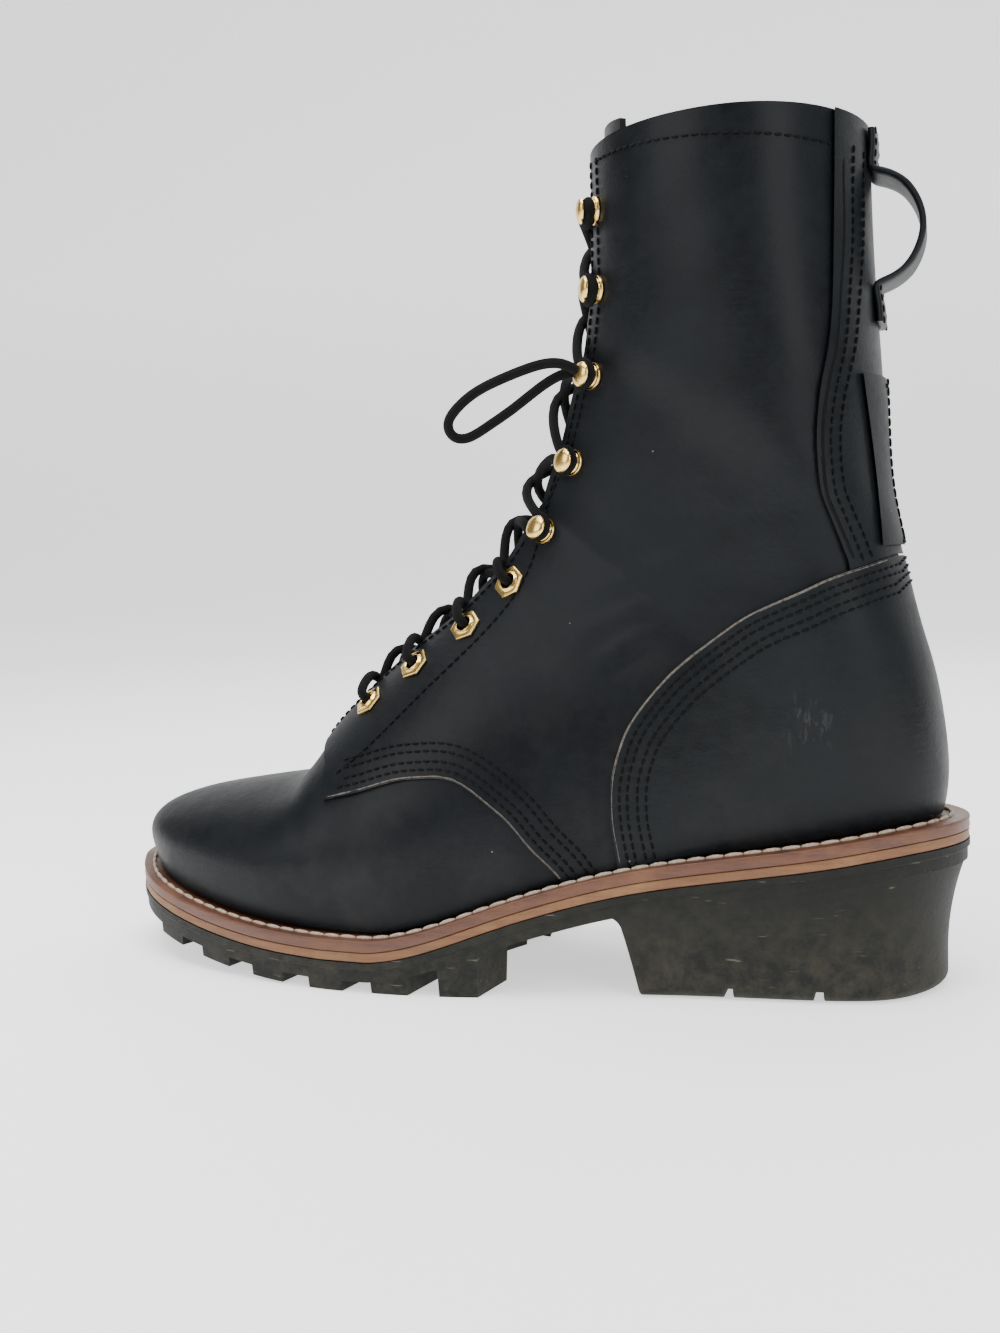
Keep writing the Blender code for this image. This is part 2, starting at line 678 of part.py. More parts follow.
def make_upper():
    return body_shell("upper", ROWS, 0.0, -UPPER_WALL, LEATHER)


def make_quarter(name, side):
    """Shaft leather of one side, laid over the vamp, cut to its stitched lower edge."""
    inner = CLEARANCE
    outer = inner + QUARTER_THICKNESS
    quarter = body_shell(name, rows_between(THROAT_ROW, COLLAR_ROW), outer, inner, LEATHER)
    outline = smooth_side(QUARTER_EDGE, 19)
    sole = float(sole_top(outline[-1][0])) - 0.010
    outline += [(outline[-1][0], sole), (FAR_BACK, sole), (FAR_BACK, FAR_TOP), (TOE_X, FAR_TOP)]
    outline += side_points(reversed(QUARTER_FRONT))
    low, high = sorted((side * EDGE_GAP / 2.0, side * SHAFT_WIDTH))
    return boolean(quarter, prism(name + "_cut", outline, low, high, LEATHER), "INTERSECT")


def make_counter():
    inner = CLEARANCE + QUARTER_THICKNESS + CLEARANCE
    outer = inner + COUNTER_THICKNESS
    counter = body_shell("counter", rows_between(11.0, 25.6), outer, inner, LEATHER)
    edge = smooth_side(COUNTER_EDGE, 22)
    floor = FOREFOOT_HEIGHT
    outline = [(FAR_BACK, edge[0][1])] + edge + [(edge[-1][0], floor), (FAR_BACK, floor)]
    return boolean(counter, prism("counter_cut", outline, -SHAFT_WIDTH, SHAFT_WIDTH, LEATHER), "INTERSECT")


def make_backstay():
    inner = CLEARANCE + QUARTER_THICKNESS + CLEARANCE
    outer = inner + BACKSTAY_THICKNESS
    backstay = body_shell("backstay", rows_between(20.2, COLLAR_ROW), outer, inner, LEATHER)
    seam = smooth_side(COUNTER_EDGE, 22)
    front = smooth_side(BACKSTAY_EDGE, 16)
    lower = [(x, z + EDGE_GAP) for x, z in seam if x > front[-1][0]]
    outline = front + list(reversed(lower)) + [(FAR_BACK, lower[0][1]), (FAR_BACK, front[0][1])]
    return boolean(backstay, prism("backstay_cut", outline, -SHAFT_WIDTH, SHAFT_WIDTH, LEATHER), "INTERSECT")


def make_back_strip():
    inner = 3.0 * CLEARANCE + QUARTER_THICKNESS + BACKSTAY_THICKNESS
    outer = inner + STRIP_THICKNESS
    strip = body_shell("back_strip", rows_between(21.4, 27.3), outer, inner, LEATHER)
    edge = smooth_side(STRIP_EDGE, 7)
    outline = edge + [(FAR_BACK, edge[-1][1]), (FAR_BACK, edge[0][1])]
    return boolean(strip, prism("back_strip_cut", outline, -SHAFT_WIDTH, SHAFT_WIDTH, LEATHER), "INTERSECT")


def make_tongue():
    """Tongue under the facings, from inside the vamp to just above the collar."""
    rows = rows_between(6.0, COLLAR_ROW)
    top = -UPPER_WALL - TONGUE_GAP
    half = throat_half_gap(rows) + TONGUE_LAP * smoothstep(4.0, 9.0, rows)
    inner_share = reach_of(rows, half)
    columns = 5
    layers = []
    for offset in (top, top - TONGUE_THICKNESS):
        grid = []
        for side in (-1, 1):
            a = inner_share[:, None] + (1.0 - inner_share)[:, None] * np.linspace(0.0, 1.0, columns)[None, :]
            points = skin(np.repeat(rows[:, None], columns, axis=1), a, side, offset)
            grid.append(points if side < 0 else points[:, ::-1][:, 1:])
        sheet = np.concatenate(grid, axis=1)
        risen = sheet[-1] + np.array([0.0, 0.0, TONGUE_RISE])
        layers.append(np.concatenate([sheet, risen[None]], axis=0))
    return grid_solid("tongue", layers[0], layers[1], LEATHER)


def grid_solid(name, front, back, surface_material):
    """Closed solid between two matching grids of points."""
    levels, width = front.shape[:2]
    block = levels * width
    vertices = np.concatenate([front.reshape(-1, 3), back.reshape(-1, 3)])
    faces = []
    for i in range(levels - 1):
        for j in range(width - 1):
            p = i * width + j
            faces.append((p, p + 1, p + width + 1, p + width))
            q = block + p
            faces.append((q + width, q + width + 1, q + 1, q))
    ring = [i for i in range(width)]
    ring += [i * width + width - 1 for i in range(1, levels)]
    ring += [(levels - 1) * width + j for j in range(width - 2, -1, -1)]
    ring += [i * width for i in range(levels - 2, 0, -1)]
    for k, p in enumerate(ring):
        q = ring[(k + 1) % len(ring)]
        faces.append((p, q, block + q, block + p))
    return make_piece(name, vertices, faces, surface_material)


def make_insole():
    """Leather board inside the upper, with a body that fills the welt's opening."""
    edge = -UPPER_WALL - INSOLE_GAP
    heel_edge = -UPPER_WALL - INSOLE_HEEL_GAP
    core = -WELT_LAP - LAYER_GAP
    top = -CLEARANCE - INSOLE_THICKNESS
    plans = [
        sole_plan(edge, heel_edge, top),
        sole_plan(edge, heel_edge, -CLEARANCE),
        sole_plan(core, core, -CLEARANCE),
        sole_plan(core, core, WELT_THICKNESS),
    ]
    return plan_solid("insole", plans, INSOLE_BOARD)


def make_welt():
    plans = [
        sole_plan(WELT_OVERHANG, HEEL_OVERHANG, 0.0),
        sole_plan(WELT_OVERHANG, HEEL_OVERHANG, WELT_THICKNESS),
        sole_plan(-WELT_LAP, -WELT_LAP, WELT_THICKNESS),
        sole_plan(-WELT_LAP, -WELT_LAP, 0.0),
    ]
    return plan_solid("welt", plans, WELT_LEATHER, ring=True)


def make_midsole():
    top = WELT_THICKNESS + LAYER_GAP
    plans = [
        sole_plan(WELT_OVERHANG, HEEL_OVERHANG, top),
        sole_plan(WELT_OVERHANG, HEEL_OVERHANG, top + MIDSOLE_THICKNESS),
    ]
    return plan_solid("midsole", plans, MIDSOLE_LEATHER)


RUBBER_TOP = WELT_THICKNESS + LAYER_GAP + MIDSOLE_THICKNESS + CLEARANCE
RUBBER_BOTTOM = RUBBER_TOP + RUBBER_THICKNESS
SOLE_DEPTH = FOREFOOT_HEIGHT


def lug_bottom(x):
    """Height of the lugs' underside: the floor under the ball, rising with the toe spring."""
    return np.maximum(sole_top(x) - SOLE_DEPTH, 0.0) * (np.asarray(x) < HEEL_X - 0.6 * LAST_LENGTH)


def lug_block(vertices, faces, corners):
    """Add one lug with the given plan corners, rooted in the rubber above."""
    base = len(vertices)
    count = len(corners)
    centre = np.mean(np.array(corners), axis=0)
    for x, y in corners:
        small = centre + (np.array((x, y)) - centre) * 0.94
        vertices.append((small[0], small[1], float(lug_bottom(small[0]))))
    for x, y in corners:
        vertices.append((x, y, float(sole_top(x)) - RUBBER_BOTTOM + RUBBER_THICKNESS / 3.0))
    faces.append(tuple(range(base, base + count)))
    faces.append(tuple(reversed(range(base + count, base + 2 * count))))
    for i in range(count):
        j = (i + 1) % count
        faces.append((base + j, base + i, base + count + i, base + count + j))


def make_lugs():
    """Rows of edge lugs down both sides of the forefoot and slanted lugs between them."""
    edges = widened(WELT_OVERHANG - LIP_STEP - CLEARANCE, HEEL_OVERHANG)
    start = HEEL_X - 0.482 * LAST_LENGTH
    toe = edges[0][0, 0]
    count = int((start - toe - 0.3 * LUG_PITCH) / LUG_PITCH)
    vertices = []
    faces = []
    for side, edge in zip((-1, 1), edges):
        for k in range(count):
            back = start - k * LUG_PITCH
            front = max(back - (LUG_PITCH - LUG_GROOVE), toe + 0.004)
            slant = 0.18 * LUG_WIDTH
            room = abs(float(edge_y(edge, front))) + 0.3 * LUG_WIDTH
            inward = min(LUG_WIDTH, 0.42 * room)
            corners = []
            for share in (0.0, 0.5, 1.0):
                x = back + (front - back) * share
                corners.append((x, float(edge_y(edge, x))))
            inner_front = corners[2][1] - side * inward
            inner_back = corners[0][1] - side * inward
            corners += [(front + slant, inner_front), (back + slant, inner_back)]
            lug_block(vertices, faces, corners)
    for k in range(count - 1):
        back = start - 0.006 - k * LUG_PITCH
        front = back - (LUG_PITCH - LUG_GROOVE)
        lateral = float(edge_y(edges[0], back)) + LUG_WIDTH + 0.007
        medial = float(edge_y(edges[1], back)) - LUG_WIDTH - 0.007
        middle = (lateral + medial) / 2.0
        half = min(CENTRE_LUG_WIDTH, (medial - lateral) / 2.0)
        bow = 0.004
        corners = [
            (back + bow, middle - half), (back - bow, middle), (back + bow, middle + half),
            (front + bow, middle + half), (front - bow, middle), (front + bow, middle - half),
        ]
        lug_block(vertices, faces, corners)
    return make_piece("lugs", vertices, faces, RUBBER)


def heel_plan(depth_share, extra):
    """Edges of the heel block at a share of its depth, from the breast to the back."""
    lateral, medial = widened(WELT_OVERHANG - LIP_STEP, HEEL_OVERHANG - LIP_STEP)
    taper = HEEL_INSET * (1.0 - (1.0 - min(depth_share / 0.75, 1.0)) ** 2) + extra
    back = lateral[-1, 0] - taper
    fillet = max(1.0 - depth_share / 0.22, 0.0)
    breast = HEEL_X - BREAST_FROM_HEEL + BREAST_SLANT * depth_share
    breast -= BREAST_FILLET * (1.0 - math.sqrt(max(1.0 - fillet * fillet, 0.0)))
    share = np.sin(np.linspace(0.0, math.pi / 2.0, 15))
    x = breast + (back - breast) * share
    edges = []
    for side, edge in zip((-1, 1), (lateral, medial)):
        squeeze = np.clip((back - x) / HEEL_ROUNDING, 0.0, 1.0)
        y = edge_y(edge, np.minimum(x + taper * (1.0 - squeeze), lateral[-1, 0]))
        narrowed = y - side * (0.35 * taper + 0.65 * extra) * np.sqrt(squeeze)
        top = sole_top(x) - RUBBER_BOTTOM + RUBBER_THICKNESS / 3.0
        edges.append(np.stack([x, narrowed, top * (1.0 - depth_share)], axis=1))
    edges[0][-1, 1] = 0.0
    edges[1][-1, 1] = 0.0
    return edges


def make_heel_block():
    """Tapered heel with a slanted, filleted breast and treads cut in its foot."""
    edge_share = 1.0 - HEEL_EDGE_RADIUS / HEEL_HEIGHT
    plans = [heel_plan(share, 0.0) for share in (0.0, 0.06, 0.12, 0.2, 0.32, 0.5, 0.7, edge_share)]
    plans.append(heel_plan(1.0 - 0.3 * HEEL_EDGE_RADIUS / HEEL_HEIGHT, 0.3 * HEEL_EDGE_RADIUS))
    plans.append(heel_plan(1.0, HEEL_EDGE_RADIUS))
    heel = plan_solid("heel_block", plans, RUBBER)
    for distance in (0.034, 0.062):
        x = HEEL_X - distance
        outline = [
            (x - 0.5 * HEEL_TREAD_WIDTH, -0.01), (x + 0.5 * HEEL_TREAD_WIDTH, -0.01),
            (x + 0.35 * HEEL_TREAD_WIDTH, HEEL_TREAD_DEPTH), (x - 0.35 * HEEL_TREAD_WIDTH, HEEL_TREAD_DEPTH),
        ]
        boolean(heel, prism("tread_cut", outline, -BALL_WIDTH, BALL_WIDTH, RUBBER), "DIFFERENCE")
    return heel


def make_outsole():
    """One rubber moulding: lipped sole plate, forefoot lugs and high heel."""
    lip = RUBBER_TOP + RUBBER_LIP
    side = WELT_OVERHANG - LIP_STEP
    heel_side = HEEL_OVERHANG - LIP_STEP
    plans = [
        sole_plan(WELT_OVERHANG, HEEL_OVERHANG, RUBBER_TOP),
        sole_plan(WELT_OVERHANG, HEEL_OVERHANG, lip),
        sole_plan(side, heel_side, lip + LIP_STEP),
        sole_plan(side, heel_side, RUBBER_BOTTOM),
    ]
    outsole = plan_solid("outsole", plans, RUBBER)
    boolean(outsole, make_lugs(), "UNION")
    boolean(outsole, make_heel_block(), "UNION")
    return outsole


def fitting_share(t, inset, side):
    """Share a of a fitting that sits a distance in from the facing's edge."""
    edge = float(facing_edge(t))
    step = 0.05
    rate = np.linalg.norm(surface(t, edge, side) - surface(t, edge - step, side)) / step
    return edge - inset / rate


def fitting_frame(t, inset, side, offset):
    """Placement on the facing: local X away from the throat, Y along the facing, Z outwards."""
    a = fitting_share(t, inset, side)
    origin = skin(t, a, side, offset)
    normal = outward_normal(t, a, side)
    upward = surface(t + 0.2, a, side) - surface(t - 0.2, a, side)
    upward -= normal * np.dot(upward, normal)
    upward /= np.linalg.norm(upward)
    upward *= -side
    across = np.cross(upward, normal)
    frame = Matrix.Identity(4)
    for k, axis in enumerate((across, upward, normal)):
        frame.col[k][:3] = axis
    frame.translation = Vector(origin)
    return frame


FACING_TOP = CLEARANCE + QUARTER_THICKNESS
EYELET_SIDES = 6
BARREL_SIDES = 12


def ring_points(radius, count, height, turn=0.0):
    angles = [turn + 2.0 * math.pi * k / count for k in range(count)]
    return [(radius * math.cos(angle), radius * math.sin(angle), height) for angle in angles]


def eyelet_mesh():
    """Hexagonal flange with a barrel down through the facing."""
    corner = EYELET_ACROSS / math.sqrt(3.0)
    bore = EYELET_HOLE / 2.0
    barrel = bore + EYELET_WALL
    depth = FACING_TOP + UPPER_WALL
    outer = []
    for point in ring_points(corner, EYELET_SIDES, 0.0):
        outer.append(point)
    hexagon = []
    for i in range(EYELET_SIDES):
        start = Vector(outer[i])
        end = Vector(outer[(i + 1) % EYELET_SIDES])
        hexagon += [start, start.lerp(end, 0.5)]
    low = FITTING_GAP
    high = FITTING_GAP + EYELET_THICKNESS
    rings = [
        [(p.x, p.y, low) for p in hexagon],
        [(0.88 * p.x, 0.88 * p.y, high) for p in hexagon],
        ring_points(bore, BARREL_SIDES, high),
        ring_points(bore, BARREL_SIDES, -depth),
        ring_points(barrel, BARREL_SIDES, -depth),
        ring_points(barrel, BARREL_SIDES, low),
    ]
    vertices = [point for ring in rings for point in ring]
    faces = []
    for k in range(len(rings)):
        here = k * BARREL_SIDES
        there = ((k + 1) % len(rings)) * BARREL_SIDES
        for i in range(BARREL_SIDES):
            j = (i + 1) % BARREL_SIDES
            faces.append((here + i, here + j, there + j, there + i))
    return vertices, faces


def hook_mesh(name):
    """Speed hook: a round plate, a neck and a round cap, cut from one bent section."""
    radius = HOOK_DIAMETER / 2.0
    low = FITTING_GAP
    plate = low + HOOK_PLATE
    cap = low + HOOK_HEIGHT
    neck = -0.15 * radius
    section = [
        (-radius, low), (radius, low), (radius, plate), (neck + 0.35 * radius, plate),
        (neck + 0.2 * radius, cap - 0.0020), (radius, cap - 0.0010), (radius, cap),
        (0.2 * radius, cap - 0.0004), (-0.7 * radius, cap - 0.0018), (-radius, cap - 0.0032),
        (neck - 0.30 * radius, cap - 0.0034), (neck - 0.35 * radius, plate), (-radius, plate),
    ]
    count = len(section)
    vertices = [(x, -radius, z) for x, z in section] + [(x, radius, z) for x, z in section]
    faces = [tuple(range(count)), tuple(reversed(range(count, 2 * count)))]
    for i in range(count):
        j = (i + 1) % count
        faces.append((j, i, count + i, count + j))
    body = make_piece(name, vertices, faces, BRASS)
    sides = 8
    turn = math.pi / sides
    rim = ring_points(radius, sides, -0.001, turn) + ring_points(radius, sides, cap + 0.002, turn)
    walls = [tuple(range(sides)), tuple(reversed(range(sides, 2 * sides)))]
    for i in range(sides):
        j = (i + 1) % sides
        walls.append((i, j, sides + j, sides + i))
    return boolean(body, make_piece(name + "_round", rim, walls, BRASS), "INTERSECT")


def make_fittings():
    """Eyelets and hooks of both facings, and the holes for the eyelets' barrels."""
    holes = []
    radius = EYELET_HOLE / 2.0 + EYELET_WALL + CLEARANCE
    for side, word in ((-1, "lateral"), (1, "medial")):
        for number, (t, inset) in enumerate(EYELETS, 1):
            frame = fitting_frame(t, inset, side, FACING_TOP)
            vertices, faces = eyelet_mesh()
            placed = [frame @ Vector(point) for point in vertices]
            make_piece(f"eyelet_{word}_{number}", placed, faces, BRASS)
            holes.append((side, frame))
        for number, (t, inset) in enumerate(HOOKS, 1):
            frame = fitting_frame(t, inset, side, FACING_TOP)
            hook = hook_mesh(f"hook_{word}_{number}")
            hook.data.transform(frame)
            hook.data.update()
    return holes, radius


def hole_cutter(name, frames, radius):
    vertices = []
    faces = []
    for frame in frames:
        base = len(vertices)
        reach = 0.006
        for height in (-reach, reach):
            vertices += [frame @ Vector(point) for point in ring_points(radius, BARREL_SIDES, height)]
        faces.append(tuple(reversed(range(base, base + BARREL_SIDES))))
        faces.append(tuple(range(base + BARREL_SIDES, base + 2 * BARREL_SIDES)))
        for i in range(BARREL_SIDES):
            j = (i + 1) % BARREL_SIDES
            faces.append((base + i, base + j, base + BARREL_SIDES + j, base + BARREL_SIDES + i))
    return make_piece(name, vertices, faces, BRASS)


def tube(name, points, diameter, sides, surface_material):
    """Round tube along a path with closed ends."""
    path = np.asarray(points, float)
    ahead = np.gradient(path, axis=0)
    ahead /= np.linalg.norm(ahead, axis=1)[:, None]
    reference = np.array((-1.0, 0.0, 0.3))
    vertices = []
    for point, direction in zip(path, ahead):
        across = np.cross(direction, reference)
        across /= np.linalg.norm(across)
        up = np.cross(across, direction)
        for k in range(sides):
            angle = 2.0 * math.pi * k / sides
            vertices.append(point + (across * math.cos(angle) + up * math.sin(angle)) * diameter / 2.0)
    faces = [tuple(range(sides)), tuple(reversed(range(len(vertices) - sides, len(vertices))))]
    for i in range(len(path) - 1):
        for k in range(sides):
            j = (k + 1) % sides
            faces.append((i * sides + k, i * sides + j, (i + 1) * sides + j, (i + 1) * sides + k))
    return make_piece(name, vertices, faces, surface_material)


def lace_turn(t, side):
    """Three points where a strand turns back, beside a fitting on the facing's edge."""
    frame = fitting_frame(t, LACE_INSET, side, FACING_TOP + CLEARANCE + 0.65 * LACE_DIAMETER)
    across = -np.array(frame.col[0][:3])
    upward = -side * np.array(frame.col[1][:3])
    outer = np.array(frame.translation)
    step = 0.5 * LACE_DIAMETER * across
    return [outer + step - 0.8 * LACE_DIAMETER * upward, outer, outer + step + 0.8 * LACE_DIAMETER * upward]


def strand_route(first_side):
    """Points of one strand zigzagging up from the lowest eyelet to the top hook."""
    stops = EYELETS + HOOKS
    points = []
    side = first_side
    for k, (t, inset) in enumerate(stops):
        turn = lace_turn(t, side)
        points += turn[1:] if k == 0 else turn
        if k + 1 < len(stops):
            middle = 0.5 * (t + stops[k + 1][0])
            height = (0.70 + 0.08 * first_side) * LACE_DIAMETER
            points.append(skin(middle, 1.0, -1, height))
        side = -side
    return points[:-1]


def make_lace_crossings():
    """The two strands of the lacing, joined where they cross."""
    strands = []
    for side in (-1, 1):
        name = "lace_crossings" if side < 0 else "lace_second"
        strands.append(tube(name, strand_route(side), LACE_DIAMETER, 6, LACE))
    return boolean(strands[0], strands[1], "UNION")


def make_lace_loop():
    """Free loop of lace hanging forward from the third hook."""
    t, inset = HOOKS[2]
    frame = fitting_frame(t, inset, -1, FACING_TOP + HOOK_HEIGHT)
    origin = np.array(frame.translation) + np.array((-0.006, -0.003, 0.0))
    route = [origin + np.array((-ahead, -out, up)) for ahead, out, up in LOOP_ROUTE]
    fine = curve_through(route, 26)
    curve = bpy.data.curves.new("lace_loop", "CURVE")
    curve.dimensions = "3D"
    line = curve.splines.new("POLY")
    line.points.add(len(fine) - 1)
    for point, place in zip(line.points, fine):
        point.co = (*place, 1.0)
    curve.bevel_depth = LACE_DIAMETER / 2.0
    curve.bevel_resolution = 2
    curve.use_fill_caps = True
    curve.materials.append(LACE)
    loop = bpy.data.objects.new("lace_loop", curve)
    bpy.context.scene.collection.objects.link(loop)
    return loop


def make_pull_loop():
    """Leather loop sewn to the backstay, bulging away from the shaft between its two tabs."""
    inner = 3.0 * CLEARANCE + QUARTER_THICKNESS + BACKSTAY_THICKNESS + CLEARANCE
    heights = FORM["back_z"](np.linspace(0.0, COLLAR_ROW - HEEL_ROW, 200))

    def back_of(z):
        row = HEEL_ROW + float(np.interp(z, heights, np.linspace(0.0, COLLAR_ROW - HEEL_ROW, 200)))
        return float(skin(row, 0.0, -1, inner)[0])

    route = [(LOOP_BASE - LOOP_TAB, 0.0), (LOOP_BASE - 0.5 * LOOP_TAB, 0.0), (LOOP_BASE, 0.0)]
    for share in (0.12, 0.28, 0.5, 0.72, 0.88):
        z = LOOP_BASE + (LOOP_TOP - LOOP_BASE) * (share + 0.10 * math.sin(2.0 * math.pi * share) * -1.0)
        route.append((z, LOOP_BULGE * math.sin(math.pi * share) ** 0.8))
    route += [(LOOP_TOP, 0.0), (LOOP_TOP + 0.5 * LOOP_TAB, 0.0), (LOOP_TOP + LOOP_TAB, 0.0)]
    inside = np.array([(back_of(z) + bulge, z) for z, bulge in route])
    ahead = np.gradient(inside, axis=0)
    ahead /= np.linalg.norm(ahead, axis=1)[:, None]
    outside = inside + np.stack([ahead[:, 1], -ahead[:, 0]], axis=1) * LOOP_THICKNESS
    half = LOOP_WIDTH / 2.0
    front = np.array([[(x, y, z) for y in (-half, half)] for x, z in inside])
    back = np.array([[(x, y, z) for y in (-half, half)] for x, z in outside])
    return grid_solid("pull_loop", back, front, LEATHER)


def make_boot():
    upper = make_upper()
    quarters = [make_quarter("quarter_lateral", -1), make_quarter("quarter_medial", 1)]
    make_counter()
    make_backstay()
    make_back_strip()
    make_tongue()
    make_insole()
    make_welt()
    make_midsole()
    make_outsole()
    holes, radius = make_fittings()
    boolean(upper, hole_cutter("upper_holes", [frame for side, frame in holes], radius), "DIFFERENCE")
    for quarter, wanted in zip(quarters, (-1, 1)):
        frames = [frame for side, frame in holes if side == wanted]
        boolean(quarter, hole_cutter("quarter_holes", frames, radius), "DIFFERENCE")
    make_lace_crossings()
    loop = make_lace_loop()
    make_pull_loop()
    solids = [obj for obj in bpy.data.objects if obj.type == "MESH"]
    points = np.array([tuple(vertex.co) for obj in solids for vertex in obj.data.vertices])
    middle = (points.min(axis=0) + points.max(axis=0)) / 2.0
    shift = Matrix.Translation((-middle[0], -middle[1], 0.0))
    for obj in solids:
        obj.data.transform(shift)
        obj.data.update()
    loop.location = shift.translation


make_boot()
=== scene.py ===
# %% [markdown]
# # A logger boot, drawn over its solids
#
# The frame holds the boot's plain solids: a last-shaped leather upper, the leathers laid over it, and a lugged
# rubber sole with a high heel. This lesson dresses them. The leathers are read from one surface function at a
# fine pitch, so they keep the last's shape, and creases, seams and furrows are added along its normal.
#
# All lengths are metres, the toe points to -X, and the outer side of this left boot faces -Y.

# %% Load the frame
import math

import bmesh
import bpy
import numpy as np
from mathutils import Matrix, Vector


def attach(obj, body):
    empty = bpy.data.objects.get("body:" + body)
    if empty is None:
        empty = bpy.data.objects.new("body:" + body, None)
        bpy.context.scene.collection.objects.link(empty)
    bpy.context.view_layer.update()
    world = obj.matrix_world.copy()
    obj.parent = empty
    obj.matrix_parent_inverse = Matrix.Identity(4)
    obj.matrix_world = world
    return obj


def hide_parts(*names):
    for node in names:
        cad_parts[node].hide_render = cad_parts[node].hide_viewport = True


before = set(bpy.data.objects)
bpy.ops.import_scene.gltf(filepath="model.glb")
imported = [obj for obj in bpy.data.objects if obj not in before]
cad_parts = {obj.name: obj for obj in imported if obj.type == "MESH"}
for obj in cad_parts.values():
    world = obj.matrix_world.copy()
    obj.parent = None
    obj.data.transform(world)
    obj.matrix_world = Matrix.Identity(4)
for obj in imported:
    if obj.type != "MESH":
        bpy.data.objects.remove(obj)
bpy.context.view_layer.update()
print("nodes in the frame:", len(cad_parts))

# %% [markdown]
# ## Camera, floor and light
#
# The camera stands where the photographer's did: level with the shaft, close to the outer side, looking a little
# down. It is turned a little further towards the toe with a wider lens, so that the whole boot is in the frame.

# %% Camera
VIEW_POINT = Vector((0.1483, -0.4487, 0.142))
VIEW_TURN = math.radians(18.7)
VIEW_FALL = math.radians(4.5)
VIEW_ROLL = math.radians(-1.8)
FOCAL_PIXELS = 1320.0
FRAME_HEIGHT = 1333.0

flat = math.cos(VIEW_FALL)
ahead = Vector((-math.sin(VIEW_TURN) * flat, math.cos(VIEW_TURN) * flat, -math.sin(VIEW_FALL)))
level = Vector((math.cos(VIEW_TURN), math.sin(VIEW_TURN), 0.0))
over = level.cross(ahead)
right = level * math.cos(VIEW_ROLL) + over * math.sin(VIEW_ROLL)
upwards = over * math.cos(VIEW_ROLL) - level * math.sin(VIEW_ROLL)
camera = bpy.data.objects.new("camera", bpy.data.cameras.new("camera"))
bpy.context.scene.collection.objects.link(camera)
turned = Matrix((right, upwards, -ahead)).transposed().to_4x4()
camera.matrix_world = Matrix.Translation(VIEW_POINT) @ turned
camera.data.sensor_fit = "VERTICAL"
camera.data.sensor_height = 36.0
camera.data.lens = 36.0 * FOCAL_PIXELS / FRAME_HEIGHT
camera.data.clip_start = 0.01
bpy.context.scene.camera = camera
print("lens", round(camera.data.lens, 1), "mm")


# %% Floor and lamps
def plain_material(name, colour, roughness, glow):
    made = bpy.data.materials.new(name)
    made.use_nodes = True
    shader = made.node_tree.nodes["Principled BSDF"]
    shader.inputs["Base Color"].default_value = (*colour, 1.0)
    shader.inputs["Roughness"].default_value = roughness
    shader.inputs["Emission Color"].default_value = (1.0, 1.0, 1.0, 1.0)
    shader.inputs["Emission Strength"].default_value = glow
    return made


def sweep_floor():
    """A floor that rises into a backdrop behind the boot."""
    outline = [(-3.0, 0.0), (2.0, 0.0)]
    outline += [(2.0 + math.sin(a), 1.0 - math.cos(a)) for a in np.linspace(0.15, math.pi / 2, 12)]
    outline += [(3.0, 5.0)]
    points = [(x, y, z) for y, z in outline for x in (-7.0, 7.0)]
    faces = [(2 * i, 2 * i + 1, 2 * i + 3, 2 * i + 2) for i in range(len(outline) - 1)]
    mesh = bpy.data.meshes.new("floor")
    mesh.from_pydata(points, [], faces)
    mesh.shade_smooth()
    mesh.materials.append(plain_material("paper", (0.90, 0.90, 0.90), 0.9, 0.95))
    return mesh


floor = bpy.data.objects.new("floor", sweep_floor())
bpy.context.scene.collection.objects.link(floor)


def soft_lamp(name, place, target, size, watts):
    lamp = bpy.data.objects.new(name, bpy.data.lights.new(name, "AREA"))
    lamp.data.shape = "RECTANGLE"
    lamp.data.size, lamp.data.size_y = size
    lamp.data.energy = watts
    lamp.location = place
    lamp.rotation_euler = (Vector(target) - Vector(place)).to_track_quat("-Z", "Y").to_euler()
    bpy.context.scene.collection.objects.link(lamp)


soft_lamp("top_light", (-0.15, -0.15, 1.25), (0.0, 0.0, 0.08), (1.1, 0.9), 21.0)
soft_lamp("front_light", (-0.75, -1.05, 0.75), (0.0, 0.0, 0.12), (0.9, 0.9), 9.0)
soft_lamp("side_light", (1.0, -0.75, 0.65), (0.05, 0.0, 0.12), (0.6, 0.9), 7.0)
soft_lamp("back_light", (0.1, 1.1, 1.0), (0.0, 0.0, 0.15), (1.2, 0.6), 6.0)
world = bpy.data.worlds.new("studio")
bpy.context.scene.world = world
world.use_nodes = True
world.node_tree.nodes["Background"].inputs["Color"].default_value = (0.95, 0.97, 1.0, 1.0)
world.node_tree.nodes["Background"].inputs["Strength"].default_value = 0.24
print("lamps:", len(bpy.data.lights))

# %% [markdown]
# ## The last
#
# A boot is built on a last, so every leather here is read from one last-shaped surface: a fan of sections from the
# toe over the instep and up to the collar. Row t runs from the toe to the collar, share a runs from the sole or the
# back seam to the ridge, and the side is -1 for the outer side and 1 for the inner one.

# %% Gaps and heights
THROAT_GAP = 0.020
COLLAR_GAP = 0.026
CLEARANCE = 0.0003
SEAT_GAP = 0.0009
HEEL_HEIGHT = 0.0550
FOREFOOT_HEIGHT = 0.0178
TOE_SPRING = 0.0135

# The distance below which two points are one, and where the last stands in the frame.
MERGE = 0.00001
PLACE = np.array((0.14825, 0.001335, 0.0))
print("welt at the forefoot:", FOREFOOT_HEIGHT, "m high, at the heel:", HEEL_HEIGHT, "m")


